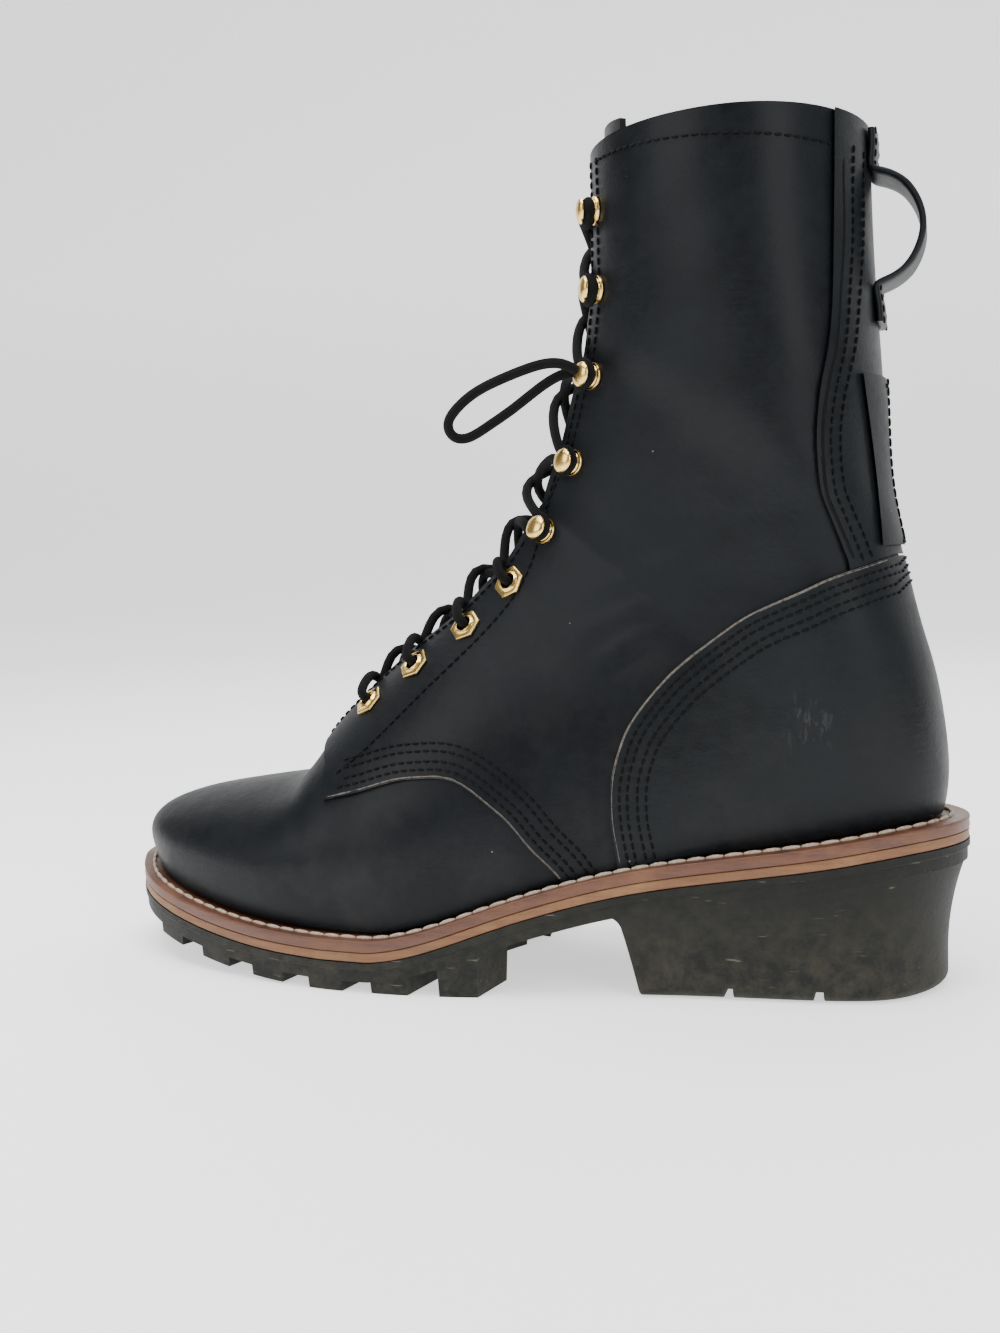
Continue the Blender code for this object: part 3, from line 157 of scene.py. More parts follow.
# %% Last and shaft
LAST_LENGTH = 0.2927
BALL_WIDTH = 0.098
HEEL_WIDTH = 0.0536
ANKLE_WIDTH = 0.066
SHAFT_WIDTH = 0.090
INSTEP_HEIGHT = 0.1136
SHAFT_HEIGHT = 0.144
BACK_LEAN = 0.0205
HEEL_X = -0.0043

# Row numbers of the fan of sections where the form changes
CUP_ROW = 12
HEEL_ROW = 18
COLLAR_ROW = 29
THROAT_ROW = 8.2
TURN = 0.35
print("last:", LAST_LENGTH, "m long,", BALL_WIDTH, "m wide at the ball")


# %% Outline and sole line
# The feather line in plan, seen from above.
# Columns: share of the length from the toe, lateral and medial half widths as shares of a width, the width.
OUTLINE = (
    (0.020, 0.090, 0.265, BALL_WIDTH),
    (0.060, 0.250, 0.383, BALL_WIDTH),
    (0.120, 0.367, 0.449, BALL_WIDTH),
    (0.200, 0.449, 0.482, BALL_WIDTH),
    (0.280, 0.498, 0.490, BALL_WIDTH),
    (0.360, 0.520, 0.464, BALL_WIDTH),
    (0.450, 0.510, 0.398, BALL_WIDTH),
    (0.550, 0.459, 0.321, BALL_WIDTH),
    (0.650, 0.720, 0.505, HEEL_WIDTH),
    (0.750, 0.605, 0.470, HEEL_WIDTH),
    (0.850, 0.520, 0.475, HEEL_WIDTH),
    (0.920, 0.440, 0.430, HEEL_WIDTH),
    (0.970, 0.290, 0.290, HEEL_WIDTH),
)
TOE_TIP_SHARE = 0.092

# Height of the welt's top along the foot.
# Columns: share of the last's length from the heel, share of the heel's rise, share of the toe spring.
SOLE_LINE = (
    (-0.06, 1.03, 0.0),
    (0.02, 1.00, 0.0),
    (0.10, 0.90, 0.0),
    (0.20, 0.785, 0.0),
    (0.30, 0.67, 0.0),
    (0.38, 0.53, 0.0),
    (0.46, 0.34, 0.0),
    (0.53, 0.145, 0.0),
    (0.60, 0.010, 0.0),
    (0.67, 0.000, 0.0),
    (0.75, 0.000, 0.09),
    (0.84, 0.000, 0.34),
    (0.93, 0.000, 0.71),
    (1.01, 0.000, 1.06),
)

# %% Heel cup and back line
# Stations of the fan's lower ends along the feather line, from the toe to the waist, as shares of the length.
FEATHER = (0.0, 0.002, 0.0085, 0.0205, 0.041, 0.077, 0.133, 0.2016, 0.273, 0.345, 0.4236, 0.509, 0.601)

# Lower ends of the sections behind the waist, where the sections pass below the feather line and are cut
# by it, so that the heel cup closes smoothly.
# Columns: share of the length from the heel, share of the heel's height, lateral and medial half widths there
# as shares of the heel's width.
HEEL_CUP = (
    (0.293, 0.716, 0.600, 0.350),
    (0.197, 0.700, 0.375, 0.235),
    (0.112, 0.710, 0.220, 0.170),
    (0.052, 0.765, 0.115, 0.100),
    (0.018, 0.868, 0.040, 0.040),
)

# The line up the back, from the heel seat to the collar.
# Columns: share of the height from heel seat to collar, share of the back's lean.
BACK_LINE = (
    (0.000, 0.00),
    (0.040, -0.09),
    (0.099, -0.09),
    (0.198, 0.06),
    (0.275, 0.28),
    (0.361, 0.50),
    (0.443, 0.69),
    (0.524, 0.80),
    (0.637, 0.84),
    (0.758, 0.92),
    (0.884, 0.98),
    (1.000, 1.00),
)

# %% Sections of the fan
# Columns: reach of the front line from the heel as a share of the length, its height as shares of instep and
# shaft height, lateral and medial half widths as shares of a width, that width, share of the section where it
# is broadest, and roundness of its upper part.
SECTIONS = (
    (1.0000, 0.120, 0.0, 0.00, 0.18, BALL_WIDTH, 0.40, 0.85),
    (1.0062, 0.155, 0.0, 0.03, 0.20, BALL_WIDTH, 0.40, 0.85),
    (1.0089, 0.203, 0.0, 0.06, 0.24, BALL_WIDTH, 0.40, 0.85),
    (1.0000, 0.261, 0.0, 0.12, 0.30, BALL_WIDTH, 0.40, 0.85),
    (0.9761, 0.310, 0.0, 0.21, 0.36, BALL_WIDTH, 0.40, 0.86),
    (0.9317, 0.349, 0.0, 0.31, 0.43, BALL_WIDTH, 0.40, 0.88),
    (0.8667, 0.380, 0.0, 0.41, 0.49, BALL_WIDTH, 0.38, 0.90),
    (0.7984, 0.407, 0.0, 0.485, 0.515, BALL_WIDTH, 0.37, 0.93),
    (0.7475, 0.449, 0.0, 0.526, 0.522, BALL_WIDTH, 0.36, 0.97),
    (0.7115, 0.577, 0.0, 0.536, 0.505, BALL_WIDTH, 0.33, 1.10),
    (0.6605, 0.718, 0.0, 0.532, 0.475, BALL_WIDTH, 0.30, 1.14),
    (0.5955, 0.864, 0.0, 0.500, 0.425, BALL_WIDTH, 0.28, 1.14),
    (0.5495, 0.961, 0.0, 0.449, 0.378, BALL_WIDTH, 0.28, 1.12),
    (0.5170, 1.0, 0.038, 0.715, 0.640, HEEL_WIDTH, 0.320, 1.10),
    (0.4927, 1.0, 0.097, 0.660, 0.615, HEEL_WIDTH, 0.365, 1.08),
    (0.4756, 1.0, 0.153, 0.630, 0.605, HEEL_WIDTH, 0.385, 1.06),
    (0.4620, 1.0, 0.198, 0.615, 0.600, HEEL_WIDTH, 0.395, 1.05),
    (0.4534, 1.0, 0.229, 0.607, 0.597, HEEL_WIDTH, 0.375, 1.04),
    (0.4493, 1.0, 0.250, 0.603, 0.595, HEEL_WIDTH, 0.345, 1.04),
    (0.4397, 1.0, 0.299, 0.490, 0.485, ANKLE_WIDTH, 0.335, 1.0),
    (0.4295, 1.0, 0.350, 0.490, 0.485, ANKLE_WIDTH, 0.33, 1.0),
    (0.4158, 1.0, 0.427, 0.492, 0.488, ANKLE_WIDTH, 0.34, 1.0),
    (0.4022, 1.0, 0.500, 0.503, 0.497, ANKLE_WIDTH, 0.36, 1.0),
    (0.3868, 1.0, 0.576, 0.530, 0.525, ANKLE_WIDTH, 0.38, 1.0),
    (0.3782, 1.0, 0.642, 0.430, 0.430, SHAFT_WIDTH, 0.40, 1.0),
    (0.3714, 1.0, 0.701, 0.449, 0.449, SHAFT_WIDTH, 0.42, 1.0),
    (0.3680, 1.0, 0.778, 0.470, 0.470, SHAFT_WIDTH, 0.44, 1.0),
    (0.3663, 1.0, 0.854, 0.486, 0.486, SHAFT_WIDTH, 0.45, 1.0),
    (0.3656, 1.0, 0.927, 0.495, 0.495, SHAFT_WIDTH, 0.46, 1.0),
    (0.3652, 1.0, 1.000, 0.500, 0.500, SHAFT_WIDTH, 0.46, 1.0),
)
print("sections:", len(SECTIONS))


# %% Curves
def spline(values):
    """Natural cubic spline through values numbered 0, 1, 2 and on, as a function of the number."""
    y = np.asarray(values, float)
    count = len(y)
    system = np.zeros((count, count))
    right = np.zeros(count)
    system[0, 0] = 1.0
    system[-1, -1] = 1.0
    for i in range(1, count - 1):
        system[i, i - 1:i + 2] = (1.0, 4.0, 1.0)
        right[i] = 6.0 * (y[i - 1] - 2.0 * y[i] + y[i + 1])
    bend = np.linalg.solve(system, right)

    def read(number):
        t = np.clip(np.asarray(number, float), 0.0, count - 1.0)
        i = np.minimum(t.astype(int), count - 2)
        u = t - i
        v = 1.0 - u
        return v * y[i] + u * y[i + 1] + ((v ** 3 - v) * bend[i] + (u ** 3 - u) * bend[i + 1]) / 6.0

    return read


def curve_through(points, count):
    """Evenly numbered points on a smooth curve through the given points."""
    table = np.asarray(points, float)
    numbers = np.linspace(0.0, len(table) - 1.0, count)
    return np.stack([spline(table[:, k])(numbers) for k in range(table.shape[1])], axis=1)


def smoothstep(low, high, value):
    share = np.clip((np.asarray(value, float) - low) / (high - low), 0.0, 1.0)
    return share * share * (3.0 - 2.0 * share)


# %% Heights and edges of the sole
HEEL_RISE = HEEL_HEIGHT - FOREFOOT_HEIGHT
TOE_X = HEEL_X - LAST_LENGTH
COLLAR_HEIGHT = FOREFOOT_HEIGHT + INSTEP_HEIGHT + SHAFT_HEIGHT


def sole_curve():
    """Shares of the length from the heel and the heights of the welt's top there, read finely once."""
    table = np.array(SOLE_LINE)
    fine = np.linspace(0.0, len(table) - 1.0, 400)
    along = spline(table[:, 0])(fine)
    height = FOREFOOT_HEIGHT + HEEL_RISE * spline(table[:, 1])(fine) + TOE_SPRING * spline(table[:, 2])(fine)
    return along, np.maximum(height, FOREFOOT_HEIGHT)


SOLE_ALONG, SOLE_HEIGHTS = sole_curve()


def sole_top(x):
    """Height of the welt's top at x."""
    share = (HEEL_X - np.asarray(x, float)) / LAST_LENGTH
    return np.interp(share, SOLE_ALONG, SOLE_HEIGHTS)


def closed_outline():
    """The feather line in plan as a fine closed polygon, from the toe tip round the lateral side."""
    lateral = [(HEEL_X - LAST_LENGTH * (1.0 - s), -a * width) for s, a, b, width in OUTLINE]
    medial = [(HEEL_X - LAST_LENGTH * (1.0 - s), b * width) for s, a, b, width in reversed(OUTLINE)]
    tip = [(TOE_X, TOE_TIP_SHARE * BALL_WIDTH)]
    ring = tip + lateral + [(HEEL_X, 0.0)] + medial
    wrapped = ring[-4:] + ring + ring[:4]
    fine = 24
    points = curve_through(wrapped, (len(wrapped) - 1) * fine + 1)
    return points[4 * fine:-4 * fine + fine - 1]


OUTLINE_POINTS = closed_outline()


def overhang(x, toe_side, heel_side):
    """How far a sole layer stands out beyond the feather line at x."""
    middle = HEEL_X - 0.45 * LAST_LENGTH
    return toe_side + (heel_side - toe_side) * smoothstep(middle, HEEL_X, x)


def moved_out(toe_side, heel_side):
    """The outline moved outwards in plan."""
    points = OUTLINE_POINTS
    ahead = np.roll(points, -1, axis=0) - np.roll(points, 1, axis=0)
    outward = np.stack([ahead[:, 1], -ahead[:, 0]], axis=1)
    outward /= np.linalg.norm(outward, axis=1)[:, None]
    if np.dot(outward[0], (-1.0, 0.0)) < 0.0:
        outward = -outward
    return points + outward * overhang(points[:, 0], toe_side, heel_side)[:, None]


def widened(toe_side, heel_side):
    """Lateral and medial edges of the moved outline, from its toe tip to its heel tip."""
    moved = moved_out(toe_side, heel_side)
    toe = int(np.argmin(moved[:, 0]))
    moved = np.roll(moved, -toe, axis=0)
    heel = int(np.argmax(moved[:, 0]))
    return moved[:heel + 1], np.vstack([moved[heel:], moved[:1]])[::-1]


def edge_y(edge, x):
    """The y of one edge of an outline at x."""
    order = np.maximum.accumulate(edge[:, 0])
    return np.interp(x, order, edge[:, 1])


FEATHER_EDGES = widened(0.0, 0.0)
print("outline:", len(OUTLINE_POINTS), "points")


# %% Ends and widths of the sections
def front_and_back():
    """Splines in the row number for the two ends of each section and for its widths."""
    feather_x = TOE_X + LAST_LENGTH * np.array(FEATHER)
    cup = np.array(HEEL_CUP)
    back = np.array(BACK_LINE)
    cup_x = HEEL_X - LAST_LENGTH * cup[:, 0]
    back_x = HEEL_X - BACK_LEAN * back[:, 1]
    seat = float(sole_top(HEEL_X)) + SEAT_GAP
    back_z = seat + (COLLAR_HEIGHT - seat) * back[:, 0]
    low_x = np.concatenate([feather_x, cup_x, back_x])
    low_z = np.concatenate([sole_top(feather_x) + SEAT_GAP, HEEL_HEIGHT * cup[:, 1], back_z])
    closed = np.zeros(len(back_x))
    low_lateral = np.concatenate([edge_y(FEATHER_EDGES[0], feather_x), -HEEL_WIDTH * cup[:, 2], closed])
    low_medial = np.concatenate([edge_y(FEATHER_EDGES[1], feather_x), HEEL_WIDTH * cup[:, 3], closed])
    front_x = HEEL_X - LAST_LENGTH * np.array([row[0] for row in SECTIONS])
    front_z = FOREFOOT_HEIGHT + INSTEP_HEIGHT * np.array([row[1] for row in SECTIONS])
    front_z = front_z + SHAFT_HEIGHT * np.array([row[2] for row in SECTIONS])
    front_x[0] = TOE_X
    front_z[0] = float(sole_top(TOE_X)) + SEAT_GAP
    lateral = np.array([row[3] * row[5] for row in SECTIONS])
    medial = np.array([row[4] * row[5] for row in SECTIONS])
    return {
        "low_x": spline(low_x),
        "low_z": spline(low_z),
        "low_lateral": spline(low_lateral),
        "low_medial": spline(low_medial),
        "front_x": spline(front_x),
        "front_z": spline(front_z),
        "lateral": spline(lateral),
        "medial": spline(medial),
        "broadest": spline([row[6] for row in SECTIONS]),
        "roundness": spline([row[7] for row in SECTIONS]),
    }


FORM = front_and_back()
TOE_BULGE = 0.0022
TOE_NORMAL = np.array((-0.94, 0.0, -0.34))
print("form:", ", ".join(FORM))


# %% Surface and normal
def section_ends(t):
    """Lower or back end and upper or front end of the section with row number t."""
    x = FORM["low_x"](t)
    z = np.where(t < CUP_ROW, sole_top(x) + SEAT_GAP, FORM["low_z"](t))
    return x, z, FORM["front_x"](t), FORM["front_z"](t)


def surface(t, a, side):
    """Point of the upper's outer face: row number t, share a from feather or back seam to ridge, side -1 or 1."""
    t, a = np.broadcast_arrays(np.asarray(t, float), np.asarray(a, float))
    low_x, low_z, top_x, top_z = section_ends(t)
    edge = FEATHER_EDGES[0] if side < 0 else FEATHER_EDGES[1]
    below_cup = FORM["low_lateral" if side < 0 else "low_medial"](t)
    low_y = np.where(t < CUP_ROW, edge_y(edge, low_x), below_cup * (t < HEEL_ROW))
    middle = TOE_TIP_SHARE * BALL_WIDTH * (1.0 - smoothstep(0.0, 9.0, t))
    wide = side * FORM["lateral" if side < 0 else "medial"](t)
    bulging = low_y + side * TOE_BULGE * smoothstep(-1.0, 4.0, t)
    weight = smoothstep(4.0, 8.0, t)
    wide = bulging * (1.0 - weight) + wide * weight
    broadest = FORM["broadest"](t)
    turn_low = np.clip(a / TURN, 0.0, 1.0) * math.pi / 2.0
    turn_top = np.clip((a - TURN) / (1.0 - TURN), 0.0, 1.0) * math.pi / 2.0
    below = a <= TURN
    share = np.where(
        below,
        broadest * (1.0 - np.cos(turn_low)),
        broadest + (1.0 - broadest) * np.sin(turn_top) ** FORM["roundness"](t),
    )
    y = np.where(
        below,
        low_y + (wide - low_y) * np.sin(turn_low),
        middle + (wide - middle) * np.maximum(np.cos(turn_top), 0.0) ** FORM["roundness"](t),
    )
    x = low_x + (top_x - low_x) * share
    z = low_z + (top_z - low_z) * share
    pinch = t <= 0.0
    x = np.where(pinch, TOE_X, x)
    y = np.where(pinch, TOE_TIP_SHARE * BALL_WIDTH, y)
    z = np.where(pinch, FORM["front_z"](0.0), z)
    return np.stack([x, y, z], axis=-1)


def outward_normal(t, a, side):
    """Unit normal of the outer face, pointing out of the boot."""
    step = 0.02
    t = np.clip(np.asarray(t, float), 0.5, COLLAR_ROW - step)
    near_feather = 0.09 * (1.0 - smoothstep(CUP_ROW, CUP_ROW + 2.0, t))
    a = np.clip(np.maximum(np.asarray(a, float), near_feather), step, 1.0 - step)
    along = surface(t + step, a, side) - surface(t - step, a, side)
    across = surface(t, a + step, side) - surface(t, a - step, side)
    normal = np.cross(across, along) * side
    return normal / np.linalg.norm(normal, axis=-1, keepdims=True)


print("toe at", surface(0.0, 0.0, -1), "collar at", surface(COLLAR_ROW, 1.0, -1))


# %% Leather above the surface
def centred(t, a):
    """Share of the way to a centre line, back seam or ridge, where both sides must meet."""
    seam = (1.0 - smoothstep(0.0, 0.10, a)) * (t >= HEEL_ROW)
    ridge = smoothstep(0.90, 1.0, a)
    return np.maximum(seam, ridge)


def skin(t, a, side, offset):
    """Point at a distance off the outer face, kept above the welt and on the centre line at its seams."""
    t, a = np.broadcast_arrays(np.asarray(t, float), np.asarray(a, float))
    normal = outward_normal(t, a, side)
    mirrored = outward_normal(t, a, -side)
    shared = (normal + mirrored) / 2.0
    shared[..., 1] = 0.0
    weight = centred(t, a)[..., None]
    normal = normal * (1.0 - weight) + shared * weight
    normal = np.where((t <= 0.0)[..., None], TOE_NORMAL, normal)
    normal /= np.linalg.norm(normal, axis=-1, keepdims=True)
    point = surface(t, a, side) + normal * np.asarray(offset, float)[..., None]
    point[..., 2] = np.maximum(point[..., 2], sole_top(point[..., 0]) + SEAT_GAP)
    return point


def feather_share(t, side):
    """Share a at which the section leaves the welt."""
    t = np.atleast_1d(np.asarray(t, float))
    low = np.zeros_like(t)
    high = np.full_like(t, TURN)
    for _ in range(40):
        middle = (low + high) / 2.0
        point = surface(t, middle, side)
        under = point[:, 2] < sole_top(point[:, 0]) + SEAT_GAP
        low = np.where(under, middle, low)
        high = np.where(under, high, middle)
    return np.where((t > CUP_ROW) & (t < HEEL_ROW), high, 0.0)


# %% Throat
THROAT_END = 1.4


def throat_half_gap(t):
    """Half the width of the throat's opening at row t."""
    opening = np.clip((t - THROAT_ROW) / THROAT_END, 0.0, 1.0)
    grown = THROAT_GAP + (COLLAR_GAP - THROAT_GAP) * smoothstep(10.0, COLLAR_ROW, t)
    return 0.5 * grown * np.sqrt(opening * (2.0 - opening))


def reach_of(t, half_width):
    """Share a at which the section is half_width away from its ridge line."""
    narrow = np.minimum(FORM["lateral"](t), FORM["medial"](t))
    cosine = np.clip(half_width / np.maximum(narrow, MERGE), 0.0, 0.95)
    turn_top = np.arccos(cosine ** (1.0 / FORM["roundness"](t)))
    return TURN + (1.0 - TURN) * turn_top / (math.pi / 2.0)


def facing_edge(t):
    """Share a of the facing's edge: the ridge before the throat, then the edge of its opening."""
    t = np.asarray(t, float)
    return np.where(t <= THROAT_ROW, 1.0, reach_of(t, throat_half_gap(t)))


print("throat:", round(2000.0 * float(throat_half_gap(COLLAR_ROW)), 1), "mm wide at the collar")

# %% [markdown]
# ## Creases
#
# Oiled leather folds where the ankle bends and rumples a little up the shaft. A mesh can be creased by sculpting,
# by a bump map or by moving its points along a rule. The folds are long and few here, so each is one row of a
# table, read in the side view: a soft trough with a lower ridge beside it.

# %% Crease table
# Columns: start and end as shares (of the length from the heel, of the collar's height), depth and width in mm,
# sag at the middle in mm.
CREASES = (
    ((0.379, 0.446), (0.178, 0.503), 0.75, 4.0, 2.0),
    ((0.374, 0.405), (0.216, 0.466), 0.65, 3.4, 3.0),
    ((0.349, 0.372), (0.275, 0.414), 0.50, 3.2, 1.0),
    ((0.219, 0.556), (0.100, 0.576), 0.45, 2.6, -1.0),
    ((0.297, 0.539), (0.204, 0.564), 0.50, 3.0, 1.0),
    ((0.244, 0.443), (0.110, 0.500), 0.55, 3.0, 1.5),
    ((0.175, 0.603), (0.107, 0.627), 0.45, 2.2, 1.0),
    ((0.182, 0.707), (0.106, 0.716), 0.40, 2.0, 1.0),
    ((0.169, 0.683), (0.109, 0.690), 0.40, 1.8, 0.5),
    ((0.179, 0.643), (0.110, 0.650), 0.35, 1.8, -0.5),
    ((0.450, 0.465), (0.383, 0.439), 0.60, 3.2, 1.0),
    ((0.485, 0.407), (0.406, 0.393), 0.55, 3.2, 1.0),
    ((0.330, 0.620), (0.190, 0.640), 0.35, 4.5, 2.0),
    ((0.340, 0.500), (0.240, 0.530), 0.40, 4.0, 1.0),
    ((0.730, 0.265), (0.640, 0.185), 0.35, 4.0, 3.0),
    ((0.760, 0.235), (0.690, 0.165), 0.30, 4.0, 2.0),
)


def side_place(share):
    """Side-view place from shares of the last's length and the collar's height."""
    return np.array((HEEL_X - LAST_LENGTH * share[0], COLLAR_HEIGHT * share[1]))


def distance_to_line(points, line):
    """Distance from side-view points to a polyline, and how far along it the nearest place is."""
    best = np.full(points.shape[:-1], 1e9)
    along = np.zeros(points.shape[:-1])
    done = 0.0
    for a, b in zip(line[:-1], line[1:]):
        run = b - a
        size = np.hypot(*run)
        share = np.clip(((points - a) @ run) / size ** 2, 0.0, 1.0)
        gap = np.hypot(points[..., 0] - a[0] - share * run[0], points[..., 1] - a[1] - share * run[1])
        nearer = gap < best
        best = np.where(nearer, gap, best)
        along = np.where(nearer, done + share * size, along)
        done += size
    return best, along / done


# %% Relief of the leather
MILLIMETRE = 0.001
RIDGE_HEIGHT, RIDGE_AWAY, RIDGE_WIDTH = 0.45, 1.5, 0.7
RUMPLE = 0.00022
CREASE_LINES = []
for start, end, depth, width, sag in CREASES:
    a, b = side_place(start), side_place(end)
    across = np.array((-(b - a)[1], (b - a)[0])) / np.hypot(*(b - a))
    bent = [a + (b - a) * s + across * sag * MILLIMETRE * math.sin(math.pi * s) for s in np.linspace(0.0, 1.0, 9)]
    CREASE_LINES.append((np.array(bent), depth * MILLIMETRE, width * MILLIMETRE))


def relief(point):
    """How far the leather stands out of the last's smooth surface at a point."""
    flat = point[..., (0, 2)]
    out = np.zeros(flat.shape[:-1])
    for line, depth, width in CREASE_LINES:
        box_low = line.min(axis=0) - 3.0 * width
        box_high = line.max(axis=0) + 3.0 * width
        near = np.all((flat > box_low) & (flat < box_high), axis=-1)
        if not near.any():
            continue
        gap, along = distance_to_line(flat[near], line)
        fade = np.sin(math.pi * np.clip(along, 0.0, 1.0)) ** 0.7
        scaled = gap / width
        ridge = RIDGE_HEIGHT * np.exp(-((scaled - RIDGE_AWAY) / RIDGE_WIDTH) ** 2)
        out[near] += fade * depth * (ridge - np.exp(-scaled ** 2))
    waves = RUMPLE * np.sin(point[..., 2] * 150.0 + 3.0 * np.sin(point[..., 0] * 40.0))
    waves *= smoothstep(0.10, 0.13, point[..., 2]) * smoothstep(0.27, 0.25, point[..., 2])
    return out + waves


def leather_point(t, a, side, offset):
    """Point of a leather at a distance off the creased surface, in the frame's place."""
    t, a = np.broadcast_arrays(np.asarray(t, float), np.asarray(a, float))
    smooth = skin(t, a, side, 0.0)
    edge_calm = smoothstep(0.0, 0.12, a)
    point = skin(t, a, side, offset + relief(smooth) * edge_calm)
    return point + PLACE


print("creases:", len(CREASE_LINES))

# %% [markdown]
# ## Finishes
#
# Each finish is a node tree on Object coordinates, so it keeps its scale on every piece. The leather is black,
# oiled and a little blue, with a fine pebble, pull-up clouds where the wax has moved, pale specks and dust that
# gathers low down. Gloss comes from roughness and a thin coat.


# %% Finish helpers
class Finish:
    """A Principled material whose nodes are added in a few words."""

    def __init__(self, name, **values):
        self.made = bpy.data.materials.new(name)
        self.made.use_nodes = True
        self.tree = self.made.node_tree
        self.shader = self.tree.nodes["Principled BSDF"]
        for key, value in values.items():
            self.shader.inputs[key.replace("_", " ")].default_value = value
        self.place = self.tree.nodes.new("ShaderNodeTexCoord").outputs["Object"]

    def node(self, kind, **settings):
        made = self.tree.nodes.new(kind)
        for key, value in settings.items():
            if hasattr(made, key):
                setattr(made, key, value)
            else:
                made.inputs[key.replace("_", " ")].default_value = value
        return made

    def join(self, source, target):
        self.tree.links.new(source, target)

    def stretch(self, scale, turn=(0.0, 0.0, 0.0), source=None):
        mapping = self.node("ShaderNodeMapping")
        mapping.inputs["Scale"].default_value = scale
        mapping.inputs["Rotation"].default_value = turn
        self.join(source or self.place, mapping.inputs["Vector"])
        return mapping.outputs["Vector"]

    def noise(self, scale, detail=4.0, rough=0.55, source=None):
        made = self.node("ShaderNodeTexNoise", Scale=scale, Detail=detail, Roughness=rough)
        self.join(source or self.place, made.inputs["Vector"])
        return made.outputs["Fac"]

    def cells(self, scale, source=None, feature="F1"):
        made = self.node("ShaderNodeTexVoronoi", feature=feature, Scale=scale)
        self.join(source or self.place, made.inputs["Vector"])
        return made.outputs["Distance"]

    def range(self, source, low, high, to_low=0.0, to_high=1.0):
        made = self.node("ShaderNodeMapRange")
        for socket, value in zip(("From Min", "From Max", "To Min", "To Max"), (low, high, to_low, to_high)):
            made.inputs[socket].default_value = value
        self.join(source, made.inputs["Value"])
        return made.outputs["Result"]

    def sum(self, a, b, operation="ADD"):
        made = self.node("ShaderNodeMath", operation=operation)
        for socket, value in zip(made.inputs, (a, b)):
            if isinstance(value, (int, float)):
                socket.default_value = value
            else:
                self.join(value, socket)
        return made.outputs[0]

    def mix(self, share, first, second):
        made = self.node("ShaderNodeMix", data_type="RGBA")
        self.join(share, made.inputs["Factor"])
        for socket, value in zip((made.inputs[6], made.inputs[7]), (first, second)):
            if isinstance(value, tuple):
                socket.default_value = (*value, 1.0)
            else:
                self.join(value, socket)
        return made.outputs[2]

    def height(self, lowest, highest):
        """A share that falls from 1 to 0 between two heights above the floor."""
        parts = self.node("ShaderNodeSeparateXYZ")
        self.join(self.place, parts.inputs[0])
        return self.range(parts.outputs["Z"], lowest, highest, 1.0, 0.0)

    def spot(self, centre, radius):
        """A share that falls from 1 at a place on the boot to 0 at a distance from it."""
        gap = self.node("ShaderNodeVectorMath", operation="DISTANCE")
        self.join(self.place, gap.inputs[0])
        gap.inputs[1].default_value = centre
        return self.range(gap.outputs["Value"], 0.0, radius, 1.0, 0.0)

    def colour(self, source):
        self.join(source, self.shader.inputs["Base Color"])

    def roughness(self, source):
        self.join(source, self.shader.inputs["Roughness"])

    def bump(self, source, distance, strength=1.0):
        made = self.node("ShaderNodeBump", Distance=distance, Strength=strength)
        self.join(source, made.inputs["Height"])
        self.join(made.outputs["Normal"], self.shader.inputs["Normal"])


# %% Oiled leather
# Scuffed places on the counter. Columns: centre, radius.
SCUFFS = (((0.121, -0.047, 0.1020), 0.016), ((0.110, -0.048, 0.0880), 0.020), ((0.101, -0.048, 0.0920), 0.013))


def scuffed(made, tone):
    """Pale rubbed marks in short slanted strokes at the scuffed places."""
    slanted = made.stretch((1.0, 1.0, 0.28), (0.0, 0.5, 0.0))
    strokes = made.range(made.noise(420.0, 3.0, 0.7, slanted), 0.55, 0.68)
    for centre, radius in SCUFFS:
        share = made.sum(made.sum(made.spot(centre, radius), strokes, "MULTIPLY"), 0.75, "MULTIPLY")
        tone = made.mix(share, tone, (0.095, 0.098, 0.100))
    return tone


def oiled_leather(name, base, cloud, dust=0.10):
    made = Finish(name, Roughness=0.42, Coat_Weight=0.05, Coat_Roughness=0.26, Specular_IOR_Level=0.15)
    clouds = made.noise(16.0, 3.0, 0.6)
    fine = made.noise(240.0, 5.0, 0.65)
    tone = made.mix(made.range(clouds, 0.35, 0.70), base, cloud)
    tone = made.mix(made.range(fine, 0.30, 0.85, 0.0, 0.35), tone, tuple(2.2 * c for c in cloud))
    haze = made.sum(made.height(0.02, 0.13), made.range(made.noise(38.0, 6.0, 0.7), 0.48, 0.75), "MULTIPLY")
    tone = made.mix(made.sum(haze, dust, "MULTIPLY"), tone, (0.12, 0.105, 0.085))
    specks = made.range(made.cells(210.0), 0.060, 0.035)
    rare = made.range(made.noise(70.0, 2.0), 0.62, 0.66)
    tone = made.mix(made.sum(made.sum(specks, rare, "MULTIPLY"), 0.7, "MULTIPLY"), tone, (0.45, 0.43, 0.40))
    made.colour(scuffed(made, tone))
    made.roughness(made.range(made.sum(clouds, made.sum(fine, 0.4, "MULTIPLY")), 0.45, 0.95, 0.36, 0.62))
    pebble = made.cells(1150.0)
    streaks = made.noise(90.0, 4.0, 0.6, made.stretch((1.0, 1.0, 5.0), (0.0, 0.35, 0.0)))
    made.bump(made.sum(made.sum(pebble, 0.35, "MULTIPLY"), made.sum(streaks, fine)), 0.00022, 0.55)
    return made.made


# %% Raw edge, thread and edge leather
def raw_edge():
    made = Finish("raw_edge", Roughness=0.95)
    fibres = made.noise(900.0, 6.0, 0.8)
    made.colour(made.mix(made.range(fibres, 0.35, 0.65), (0.030, 0.027, 0.025), (0.17, 0.15, 0.125)))
    made.bump(fibres, 0.0004, 0.9)
    return made.made


